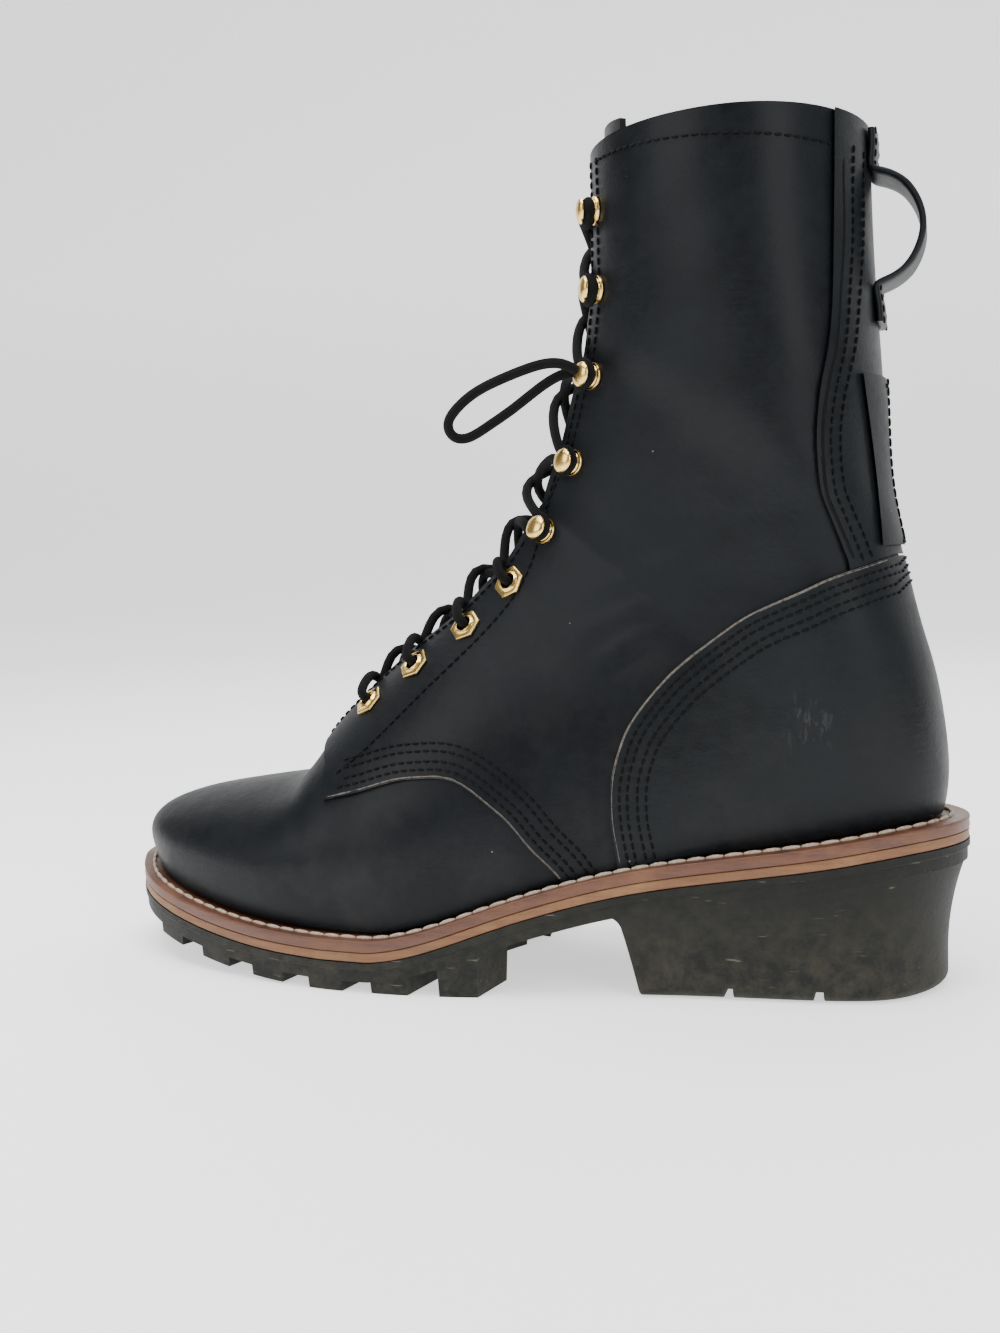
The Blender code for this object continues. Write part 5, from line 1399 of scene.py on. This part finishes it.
def facing_frame(t, inset, side, offset):
    """Place on the facing: local X away from the throat, Y along the facing, Z outwards."""
    edge = float(facing_edge(t))
    rate = np.linalg.norm(surface(t, edge, side) - surface(t, edge - 0.05, side)) / 0.05
    a = edge - inset / rate
    normal = outward_normal(t, a, side)
    upward = surface(t + 0.2, a, side) - surface(t - 0.2, a, side)
    upward -= normal * np.dot(upward, normal)
    upward *= -side / np.linalg.norm(upward)
    made = Matrix.Identity(4)
    for k, axis in enumerate((np.cross(upward, normal), upward, normal)):
        made.col[k][:3] = axis
    made.translation = Vector(leather_point(t, a, side, offset))
    return made


# %% Rings
def ring(radius, height, hexagon=0.0, count=36, centre=(0.0, 0.0), lean=0.0):
    """A circle or hexagon of points at a height, tilted by its lean."""
    points = []
    for k in range(count):
        angle = 2.0 * math.pi * k / count
        within = (angle % (math.pi / 3.0)) - math.pi / 6.0
        r = radius * (1.0 - hexagon + hexagon * math.cos(math.pi / 6.0) / math.cos(within))
        x, y = centre[0] + r * math.cos(angle), centre[1] + r * math.sin(angle)
        points.append((x, y, height + lean * x))
    return points


def tube_of(rings, closed=True):
    """Points and faces of rings joined one to the next, and the last to the first or with both ends filled."""
    count = len(rings[0])
    faces = []
    for k in range(len(rings) if closed else len(rings) - 1):
        for i in range(count):
            j = (i + 1) % count
            there = (k + 1) % len(rings) * count
            faces.append((k * count + i, k * count + j, there + j, there + i))
    if not closed:
        faces += [tuple(reversed(range(count))), tuple(range((len(rings) - 1) * count, len(rings) * count))]
    return [p for r in rings for p in r], faces


# %% Eyelet and hook shapes
CORNER = EYELET_ACROSS / math.sqrt(3.0)
BORE = EYELET_HOLE / 2.0
low = 0.0002
# Columns: radius, height above the base, share of a hexagon.
EYELET_RINGS = (
    (CORNER, 0.0, 1.0), (CORNER, 0.0006, 1.0), (0.975 * CORNER, 0.0008, 1.0), (0.86 * CORNER, 0.0010, 1.0),
    (BORE + 0.0015, 0.0009, 0.15), (BORE + 0.0011, 0.0013, 0.0), (BORE + 0.0006, 0.0016, 0.0),
    (BORE + 0.0002, 0.0014, 0.0), (BORE, 0.0009, 0.0), (BORE, -0.0035, 0.0), (BORE + EYELET_WALL, -0.0035, 0.0),
    (BORE + EYELET_WALL, 0.0, 0.0),
)
EYELET_SHAPE = tube_of([ring(radius, low + height, hexagon) for radius, height, hexagon in EYELET_RINGS])
HOOK_RADIUS = HOOK_DIAMETER / 2.0
# Columns: share of the hook's radius, height above the base.
BASE_RINGS = (
    (1.0, 0.0), (1.0, 0.0006), (0.95, 0.0009), (0.80, 0.0008), (0.72, 0.0012), (0.55, 0.0013), (0.48, 0.0009),
    (0.30, 0.0009),
)
base = tube_of([ring(share * HOOK_RADIUS, low + height) for share, height in BASE_RINGS], closed=False)
# Columns: radius, height above the base, centre along the hook's X.
NECK_RINGS = (
    (0.0019, 0.0006, -0.0012), (0.0014, 0.0016, -0.0012), (0.0013, 0.0034, -0.0012), (0.0019, 0.0045, -0.0010),
)
neck = tube_of([ring(radius, low + height, centre=(x, 0.0)) for radius, height, x in NECK_RINGS], closed=False)
CAP_RADIUS = 0.92 * HOOK_RADIUS
CAP_RINGS = (
    (0.25, 0.0040), (0.62, 0.0041), (0.90, 0.0044), (0.985, 0.0048), (0.97, 0.0052),
    (0.86, 0.0057), (0.62, 0.0062), (0.32, 0.0065), (0.08, 0.0066),
)
cap = tube_of([ring(share * CAP_RADIUS, low + height, lean=0.10) for share, height in CAP_RINGS], closed=False)
HOOK_SHAPE = join_shapes([base, neck, cap])
print("eyelet:", len(EYELET_SHAPE[1]), "faces, hook:", len(HOOK_SHAPE[1]), "faces")


# %% Set the fittings
def placed(shape, place):
    points, faces = shape
    return [place @ Vector(p) for p in points], faces


holes = {}
for kind, stops, shape in (("eyelet", EYELETS, EYELET_SHAPE), ("hook", HOOKS, HOOK_SHAPE)):
    for side, word in ((-1, "lateral"), (1, "medial")):
        for number, (t, inset) in enumerate(stops, 1):
            place = facing_frame(t, inset, side, FACING_TOP)
            if kind == "eyelet":
                holes.setdefault(side, []).append(place)
            name = f"brass_{kind}_{word}_{number}"
            piece = keep(name, mesh_of(name, *placed(shape, place), smooth_angle=38.0), BRASS_FINISH)
            dress(piece, "brass", f"{kind}_{word}_{number}")


def hole_cutter(places):
    """Round pins through the leathers, a little wider than the eyelets' barrels."""
    radius = BORE + EYELET_WALL + 0.0002
    pin = tube_of([ring(radius, height, count=24) for height in (-0.006, 0.006)], closed=False)
    shapes = [placed(pin, place) for place in places]
    return keep("cutter", mesh_of("cutter", *join_shapes(shapes)), RAW_EDGE)


cut(upper, hole_cutter(holes[-1] + holes[1]), "DIFFERENCE")
for side in (-1, 1):
    cut(quarters[side], hole_cutter(holes[side]), "DIFFERENCE")
print("fittings:", 2 * (len(EYELETS) + len(HOOKS)))

# %% [markdown]
# ## Stitches
#
# Every seam is a row of short stitches along a path. They could be instanced by hand in a loop, but a node tree
# keeps the pitch even on any path: it resamples the path, puts one small spindle on each point and turns it along
# the seam. One tree with inputs for pitch, length and thickness serves the leathers' seams, another set of values
# the heavy pale stitch in the welt.


# %% Stitch tree
def stitch_tree():
    tree = bpy.data.node_groups.new("stitch_row", "GeometryNodeTree")
    face = tree.interface
    face.new_socket("Path", in_out="INPUT", socket_type="NodeSocketGeometry")
    for label in ("Pitch", "Length", "Thickness"):
        face.new_socket(label, in_out="INPUT", socket_type="NodeSocketFloat")
    face.new_socket("Finish", in_out="INPUT", socket_type="NodeSocketMaterial")
    face.new_socket("Stitches", in_out="OUTPUT", socket_type="NodeSocketGeometry")

    def node(kind, **values):
        made = tree.nodes.new(kind)
        for key, value in values.items():
            setattr(made, key, value)
        return made

    entry, leave = node("NodeGroupInput"), node("NodeGroupOutput")
    resample = node("GeometryNodeResampleCurve", mode="LENGTH")
    spindle = node("GeometryNodeMeshUVSphere")
    spindle.inputs["Segments"].default_value = 6
    spindle.inputs["Rings"].default_value = 5
    spindle.inputs["Radius"].default_value = 0.5
    size = node("ShaderNodeCombineXYZ")
    place = node("GeometryNodeInstanceOnPoints")
    tangent = node("GeometryNodeInputTangent")
    align = node("FunctionNodeAlignRotationToVector", axis="Z")
    finish = node("GeometryNodeSetMaterial")
    solid = node("GeometryNodeRealizeInstances")
    smooth = node("GeometryNodeSetShadeSmooth")
    for source, output, target, entrance in (
        (entry, "Path", resample, "Curve"), (entry, "Pitch", resample, "Length"), (entry, "Thickness", size, "X"),
        (entry, "Thickness", size, "Y"), (entry, "Length", size, "Z"), (resample, "Curve", place, "Points"),
        (spindle, "Mesh", place, "Instance"), (tangent, "Tangent", align, "Vector"),
        (align, "Rotation", place, "Rotation"), (size, "Vector", place, "Scale"),
        (place, "Instances", solid, "Geometry"), (solid, "Geometry", smooth, "Geometry"),
        (smooth, "Geometry", finish, "Geometry"), (entry, "Finish", finish, "Material"),
        (finish, "Geometry", leave, "Stitches"),
    ):
        tree.links.new(source.outputs[output], target.inputs[entrance])
    return tree


STITCH_TREE = stitch_tree()
print("stitch tree:", len(STITCH_TREE.nodes), "nodes")


# %% Sew a row
def sewn(name, paths, pitch, length, thickness, finish):
    """Stitches along paths, made into one plain mesh."""
    curve = bpy.data.curves.new(name + "_path", "CURVE")
    curve.dimensions = "3D"
    for path in paths:
        line = curve.splines.new("POLY")
        line.points.add(len(path) - 1)
        for point, where in zip(line.points, path):
            point.co = (*map(float, where), 1.0)
    guide = bpy.data.objects.new(name + "_path", curve)
    bpy.context.scene.collection.objects.link(guide)
    row = guide.modifiers.new("stitches", "NODES")
    row.node_group = STITCH_TREE
    values = {"Pitch": pitch, "Length": length, "Thickness": thickness, "Finish": finish}
    for item in STITCH_TREE.interface.items_tree:
        if item.name in values:
            row[item.identifier] = values[item.name]
    mesh = bpy.data.meshes.new_from_object(guide.evaluated_get(bpy.context.evaluated_depsgraph_get()))
    bpy.data.objects.remove(guide)
    made = keep(name, mesh, finish)
    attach(made, "root")
    print(name, len(mesh.polygons), "faces")
    return made


# %% Seam paths on the leathers
GRID_T, GRID_A = np.meshgrid(np.linspace(8.4, COLLAR_ROW, 420), np.linspace(0.0, 1.0, 161), indexing="ij")
GRID_PLACES = {side: surface(GRID_T, GRID_A, side)[..., [0, 2]] for side in (-1, 1)}


STEP_T, STEP_A = 0.01, 0.002


def on_last(x, z, side):
    """Row and share of the place on one side of the last that a side view shows at (x, z)."""
    gap = np.linalg.norm(GRID_PLACES[side] - np.array((x, z)), axis=-1)
    i, j = np.unravel_index(np.argmin(gap), gap.shape)
    t, a = GRID_T[i, j], GRID_A[i, j]
    for _ in range(4):
        here = surface(t, a, side)[..., [0, 2]].ravel()
        step_t = surface(t + STEP_T, a, side)[..., [0, 2]].ravel() - here
        step_a = surface(t, a + STEP_A, side)[..., [0, 2]].ravel() - here
        system = np.stack([step_t / STEP_T, step_a / STEP_A], axis=1)
        if abs(np.linalg.det(system)) < 1e-9:
            break
        change = np.clip(np.linalg.solve(system, np.array((x, z)) - here), (-0.3, -0.03), (0.3, 0.03))
        t, a = np.clip(t + change[0], 0.0, COLLAR_ROW), np.clip(a + change[1], 0.0, 1.0)
    return t, a


def seam(points, side, offset):
    """A seam on a leather's face from side-view points."""
    return np.array([leather_point(*on_last(x, z, side), side, offset).ravel() for x, z in points])


def beside(points, distance):
    """A line beside another in the side view."""
    points = np.asarray(points, float)
    ahead = np.gradient(points, axis=0)
    ahead /= np.linalg.norm(ahead, axis=1)[:, None]
    return points + np.stack([ahead[:, 1], -ahead[:, 0]], axis=1) * distance


def inside_last(points, margin=0.0):
    """The points that lie on the boot's side and above the welt."""
    back = surface(np.linspace(HEEL_ROW, COLLAR_ROW, 200), 0.0, -1)
    return [(x, z) for x, z in points if z > sole_top(x) + 0.0015 and x < np.interp(z, back[:, 2], back[:, 0]) - margin]


STITCH_LIFT = 0.00022
SEAM_PITCH, SEAM_LENGTH, SEAM_THICKNESS = 0.0031, 0.0025, 0.0009
print("grid for seams:", GRID_T.shape)

# %% Counter and quarter seams
counter_paths, shaft_paths, backstay_paths, strip_paths = [], [], [], []
edge = side_curve(COUNTER_EDGE, 60)
for distance in (0.0025, 0.0050, 0.0082, 0.0110):
    line = inside_last(beside(edge, -distance), 0.001)
    for side in (-1, 1):
        counter_paths.append(seam(line, side, COUNTER_TOP + STITCH_LIFT))
    (t, a), (lower_t, lower_a) = on_last(*line[0], -1), on_last(*line[3], -1)
    slope = (t - lower_t) / (a - lower_a)
    across = [(-1, share) for share in np.linspace(a, 0.0, 9)] + [(1, share) for share in np.linspace(0.0, a, 9)[1:]]
    rows = [t + slope * (share - a) * (1.0 - 0.5 * (a - share) / a) for _, share in across]
    counter_paths.append(np.array([
        leather_point(row, share, side, COUNTER_TOP + STITCH_LIFT).ravel() for row, (side, share) in zip(rows, across)
    ]))

edge = side_curve(QUARTER_EDGE, 50)
for distance in (0.0022, 0.0047, 0.0080, 0.0105):
    start = 3 if distance < 0.004 else 4
    line = inside_last(beside(edge, -distance)[start:])
    for side in (-1, 1):
        shaft_paths.append(seam(line, side, FACING_TOP + STITCH_LIFT))

# %% Facing and collar seams
SEAM_OFFSET = FACING_TOP + STITCH_LIFT
COLLAR_SEAM_ROW = 28.55
EDGE_SEAM_INSET = 0.0032


def facing_seam_share(t, side):
    """Share a of a seam beside the facing's edge."""
    edge = float(facing_edge(t))
    rate = np.linalg.norm((surface(t, edge, side) - surface(t, edge - 0.05, side)) / 0.05)
    return edge - EDGE_SEAM_INSET / rate


def row_seam(rows, shares, side):
    """A seam on the shaft through rows and shares of the last."""
    return np.array([leather_point(t, a, side, SEAM_OFFSET).ravel() for t, a in zip(rows, shares)])


FACING_ROW = (
    (9.62, 0.622), (10.16, 0.639), (10.84, 0.669), (11.67, 0.699), (12.76, 0.722), (14.30, 0.749),
    (16.67, 0.806), (18.94, 0.816), (21.09, 0.793), (23.5, 0.785), (26.0, 0.780), (28.55, 0.778),
)
facing = curve_through(FACING_ROW, 60)
for side in (-1, 1):
    shaft_paths.append(row_seam(facing[:, 0], facing[:, 1], side))
    collar = np.linspace(0.12, float(facing[-1][1]), 40)
    shaft_paths.append(row_seam([COLLAR_SEAM_ROW] * len(collar), collar, side))
    near = np.linspace(9.0, 28.6, 70)
    shaft_paths.append(row_seam(near, [facing_seam_share(t, side) for t in near], side))
print("shaft seams:", len(shaft_paths))

# %% Backstay and strip seams
edge = side_curve(BACKSTAY_EDGE, 50)
for distance in (0.0022, 0.0046):
    line = [p for p in beside(edge, -distance) if p[1] < COLLAR_HEIGHT - 0.003]
    for side in (-1, 1):
        backstay_paths.append(seam(line, side, BACKSTAY_TOP + STITCH_LIFT))
edge = side_curve(STRIP_EDGE, 30)
for distance in (0.0014, 0.0042):
    line = beside(edge, -distance)[1:]
    for side in (-1, 1):
        strip_paths.append(seam(line, side, STRIP_TOP + STITCH_LIFT))
for name, paths in (
    ("counter_stitches", counter_paths), ("shaft_stitches", shaft_paths),
    ("backstay_stitches", backstay_paths), ("back_strip_stitches", strip_paths),
):
    sewn(name, paths, SEAM_PITCH, SEAM_LENGTH, SEAM_THICKNESS, BLACK_THREAD)

# %% Welt stitch
WELT_PITCH, WELT_STITCH, WELT_THREAD = 0.0060, 0.0062, 0.0016
round_foot = rim(0.0032, 0.0062, -0.0002)
round_foot = np.concatenate([round_foot, round_foot[:1]])
sewn("welt_stitches", [round_foot], WELT_PITCH, WELT_STITCH, WELT_THREAD, CREAM_THREAD)

# %% [markdown]
# ## Edges
#
# The counter and the quarters end in a raw cut edge whose pale fibres stand a little proud, and the backstay's
# edge is fuzzy, in a black finish darker than its leather, which is painted shade for the shadow along the raised
# edge. A thin round bead along the cut shows both better than a sharp corner would.


# %% Round tubes
def swept_tube(name, route, diameter, finish, steps=8, sides=14):
    """A round tube through points, with distances along and round it in its UV map."""
    route = np.asarray(route, float)
    path = curve_through(route, steps * (len(route) - 1) + 1)
    gaps = np.linalg.norm(np.diff(path, axis=0), axis=1)
    along = np.concatenate([[0.0], np.cumsum(gaps)])
    ahead = np.gradient(path, axis=0)
    ahead /= np.linalg.norm(ahead, axis=1)[:, None]
    up = np.cross(ahead[0], (0.0, 0.0, 1.0))
    points = []
    for i, direction in enumerate(ahead):
        up = up - direction * np.dot(up, direction)
        up /= np.linalg.norm(up)
        across = np.cross(direction, up)
        soft = math.sin(math.pi / 2.0 * min(1.0, (0.25 + min(along[i], along[-1] - along[i]) / (0.5 * diameter))))
        for k in range(sides):
            angle = 2.0 * math.pi * k / sides
            points.append(path[i] + (up * math.cos(angle) + across * math.sin(angle)) * 0.5 * diameter * soft)
    faces = [tuple(reversed(range(sides))), tuple(range(len(points) - sides, len(points)))]
    for i in range(len(path) - 1):
        for k in range(sides):
            j = (k + 1) % sides
            faces.append((i * sides + k, i * sides + j, (i + 1) * sides + j, (i + 1) * sides + k))
    mesh = bpy.data.meshes.new(name)
    mesh.from_pydata([tuple(map(float, p)) for p in points], [], faces)
    chart = mesh.uv_layers.new(name="UVMap")
    for loop in mesh.loops:
        i, k = divmod(loop.vertex_index, sides)
        chart.data[loop.index].uv = (along[i], k / sides)
    mesh.shade_smooth()
    mesh.set_sharp_from_angle(angle=math.radians(60.0))
    made = keep(name, mesh, finish)
    return made, path


# %% Edge beads
RAW_BEAD, FUZZY_SHADE_BEAD = 0.0011, 0.0019
beads = (
    ("counter_edge", side_curve(COUNTER_EDGE, 60), COUNTER_TOP - 0.0005, RAW_BEAD, RAW_EDGE),
    ("quarter_edge", side_curve(QUARTER_EDGE, 50), FACING_TOP - 0.0005, RAW_BEAD, RAW_EDGE),
    # The backstay's bead is darker than its leather: its black finish is painted shade along the raised edge.
    ("backstay_edge", side_curve(BACKSTAY_EDGE, 50)[2:], BACKSTAY_TOP - 0.0007, FUZZY_SHADE_BEAD, BLACK_THREAD),
)
for name, edge, offset, width, finish in beads:
    for side, word in ((-1, "lateral"), (1, "medial")):
        bead, _ = swept_tube(f"{name}_{word}", seam(inside_last(edge, 0.0005), side, offset), width, finish, 2, 8)
        dress(bead, "leather")
print("edge beads:", 2 * len(beads))

# %% [markdown]
# ## Laces and the pull loop
#
# Two strands climb the throat. At an eyelet a strand comes up out of the hole, over the facing's edge and down to
# the tongue, and at a hook it goes round the neck. Each strand is one round tube through a few chosen points. The
# free loop of lace hangs forward from the third hook and goes back under the lacing, as in the photo.


# %% Where the lace passes the fittings
LACE_DIAMETER = 0.0034
STOPS = EYELETS + HOOKS


def stop_points(number, side):
    """Where a strand passes one fitting, from the throat round it and back to the throat."""
    t, inset = STOPS[number]
    place = facing_frame(t, inset, side, FACING_TOP)
    throat = facing_frame(t, 0.0006, side, FACING_TOP)

    def local(where, x, y, z):
        return np.array(where @ Vector((x, -side * y, z)))

    if number < len(EYELETS):
        return [
            local(place, 0.0, 0.0, -0.0075), local(place, 0.0, 0.0, -0.001), local(place, -0.0006, 0.0, 0.0022),
            local(place, -0.0034, 0.0006, 0.0042), local(throat, 0.0006, 0.0010, 0.0030),
            local(throat, -0.0034, 0.0022, -0.0006),
        ]
    round_neck = 0.0009 + LACE_DIAMETER / 2.0
    return [
        local(throat, 0.0006, -0.0030, 0.0027), local(place, -0.0030, -0.0034, 0.0027),
        local(place, -0.0002, -0.0034, 0.0028), local(place, round_neck, 0.0, 0.0030),
        local(place, -0.0002, 0.0034, 0.0028), local(place, -0.0030, 0.0034, 0.0027),
        local(throat, 0.0006, 0.0030, 0.0027),
    ]


# %% Lacing
def crossing(low, high, strand):
    """Where a strand crosses the ridge between two fittings, over or under the other strand."""
    t = 0.5 * (STOPS[low][0] + STOPS[high][0])
    return leather_point(t, 1.0, -1, (0.62 + 0.36 * strand) * LACE_DIAMETER).ravel()


def strand_points(first_side):
    """One strand from the lowest eyelet to the top hook, from side to side."""
    points, side = [], first_side
    for number in range(len(STOPS)):
        stop = stop_points(number, side)
        points += stop[1:] if number == 0 else stop
        if number + 1 < len(STOPS):
            points.append(crossing(number, number + 1, first_side if number % 2 else -first_side))
        side = -side
    return points[:-2]


strands = []
for side, word in ((-1, "lateral"), (1, "medial")):
    strand, _ = swept_tube("lace_from_" + word, strand_points(side), LACE_DIAMETER, LACE_FINISH, 5)
    dress(strand, "lace", *(["lace_crossings"] if side < 0 else []))
    strands.append(strand)
print("strands:", [len(strand.data.polygons) for strand in strands])

# %% Free loop of lace
# Columns: forward of the third hook, away from the boot and up, in metres.
LOOP_ROUTE = (
    (0.0050, 0.0000, 0.0035), (0.0110, 0.0015, 0.0020), (0.0200, 0.0025, -0.0010), (0.0290, 0.0030, -0.0050),
    (0.0360, 0.0020, -0.0100), (0.0392, 0.0000, -0.0142), (0.0385, -0.0030, -0.0178), (0.0340, -0.0050, -0.0184),
    (0.0270, -0.0055, -0.0150), (0.0190, -0.0052, -0.0105), (0.0120, -0.0050, -0.0060), (0.0065, -0.0050, -0.0025),
)
LOOP_START = np.array((-0.1247, -0.0271, 0.2066)) + PLACE
route = LOOP_START + np.array([(-f, -o, u) for f, o, u in LOOP_ROUTE]) - np.array((-0.0050, 0.0, 0.0035))
LEAD_IN = ((0.0112, 0.0040, -0.0030), (0.0058, 0.0014, -0.0002))
LEAD_OUT = ((0.0052, 0.0006, 0.0026), (0.0102, 0.0034, 0.0044))
LOOP_STEPS = 8
whole = [route[0] + point for point in LEAD_IN] + list(route) + [route[-1] + point for point in LEAD_OUT]
whole = curve_through(whole, LOOP_STEPS * (len(whole) - 1) + 1)
first, last = LOOP_STEPS * len(LEAD_IN), len(whole) - 1 - LOOP_STEPS * len(LEAD_OUT)
free_loop, loop_path = swept_tube("free_lace_loop", whole[first:last + 1], LACE_DIAMETER, LACE_FINISH, 1)
for name, part in (("lace_lead_in", whole[:first + 5]), ("lace_lead_out", whole[last - 4:])):
    lead, _ = swept_tube(name, part, LACE_DIAMETER, LACE_FINISH, 1)
    dress(lead, "lace")
dress(free_loop, "lace", "lace_loop")
LOOP_LENGTH = float(np.linalg.norm(np.diff(loop_path, axis=0), axis=1).sum())
print("free loop:", round(LOOP_LENGTH, 4), "m")


# %% Pull loop
LOOP_WIDTH = 0.020
LOOP_THICKNESS = 0.0020
LOOP_BULGE = 0.0140
LOOP_TAB = 0.012
LOOP_BASE_SHARE = 0.821
LOOP_TOP_SHARE = 0.951
LOOP_BASE = LOOP_BASE_SHARE * COLLAR_HEIGHT
LOOP_TOP = LOOP_TOP_SHARE * COLLAR_HEIGHT


def make_pull_loop():
    """Doubled leather loop sewn to the backstay, bulging away from the shaft between its two tabs."""
    inner = STRIP_BASE + 0.0001
    rows = np.linspace(HEEL_ROW, COLLAR_ROW, 300)
    backs = skin(rows, 0.0, -1, np.full(rows.shape, inner))

    def back_of(z):
        return float(np.interp(z, backs[:, 2], backs[:, 0]))

    route = [(LOOP_BASE - LOOP_TAB, 0.0), (LOOP_BASE - 0.5 * LOOP_TAB, 0.0), (LOOP_BASE, 0.0)]
    for share in (0.12, 0.28, 0.5, 0.72, 0.88):
        z = LOOP_BASE + (LOOP_TOP - LOOP_BASE) * (share - 0.07 * math.sin(2.0 * math.pi * share))
        route.append((z, LOOP_BULGE * math.sin(math.pi * share) ** 1.1))
    route += [(LOOP_TOP, 0.0), (LOOP_TOP + 0.5 * LOOP_TAB, 0.0), (LOOP_TOP + LOOP_TAB, 0.0)]
    inside = curve_through([(back_of(z) + bulge, z) for z, bulge in route], 90)
    outside = beside(inside, LOOP_THICKNESS)
    half = LOOP_WIDTH / 2.0

    def wrap(z, y):
        """How far the shaft falls away beside its back line, where the tabs lie on it."""
        row = float(np.interp(LOOP_BASE - 0.5 * LOOP_TAB, backs[:, 2], rows))
        round_back = skin(row, np.linspace(0.0, 0.25, 40), -1, np.full(40, inner))
        fall = round_back[0, 0] - np.interp(np.abs(y), np.abs(round_back[:, 1]), round_back[:, 0])
        above = smoothstep(LOOP_BASE - 0.001, LOOP_BASE + 0.006, z)
        below = 1.0 - smoothstep(LOOP_TOP - 0.006, LOOP_TOP + 0.001, z)
        return fall * (1.0 - above * below)

    across = np.concatenate([[-1.0, -0.965], np.linspace(-0.9, 0.9, 7), [0.965, 1.0]])
    bevel = np.clip((np.abs(across) - 0.9) / 0.1, 0.0, 1.0) ** 2 * 0.42
    layers = []
    for near, far in ((outside, inside), (inside, outside)):
        share = bevel[None, :, None]
        line = near[:, None, :] * (1.0 - share) + far[:, None, :] * share
        y = np.broadcast_to(across[None, :] * half, line.shape[:2])
        layers.append(np.stack([line[..., 0] - wrap(line[..., 1], y), y, line[..., 1]], axis=-1) + PLACE)
    piece = sheet_solid("leather_pull_loop", layers[0], layers[1], OVERLAY_LEATHER)
    seams = []
    for share in (-0.78, 0.78):
        line = beside(inside, LOOP_THICKNESS + 0.0001)
        for tab in (line[1:18], line[-18:-1]):
            y = np.full(len(tab), share * half)
            seams.append(np.stack([tab[:, 0] - wrap(tab[:, 1], y), y, tab[:, 1]], axis=-1) + PLACE)
    return piece, seams


pull_loop, loop_seams = make_pull_loop()
dress(pull_loop, "leather", "pull_loop")
sewn("pull_loop_stitches", loop_seams, SEAM_PITCH, SEAM_LENGTH, SEAM_THICKNESS, BLACK_THREAD)
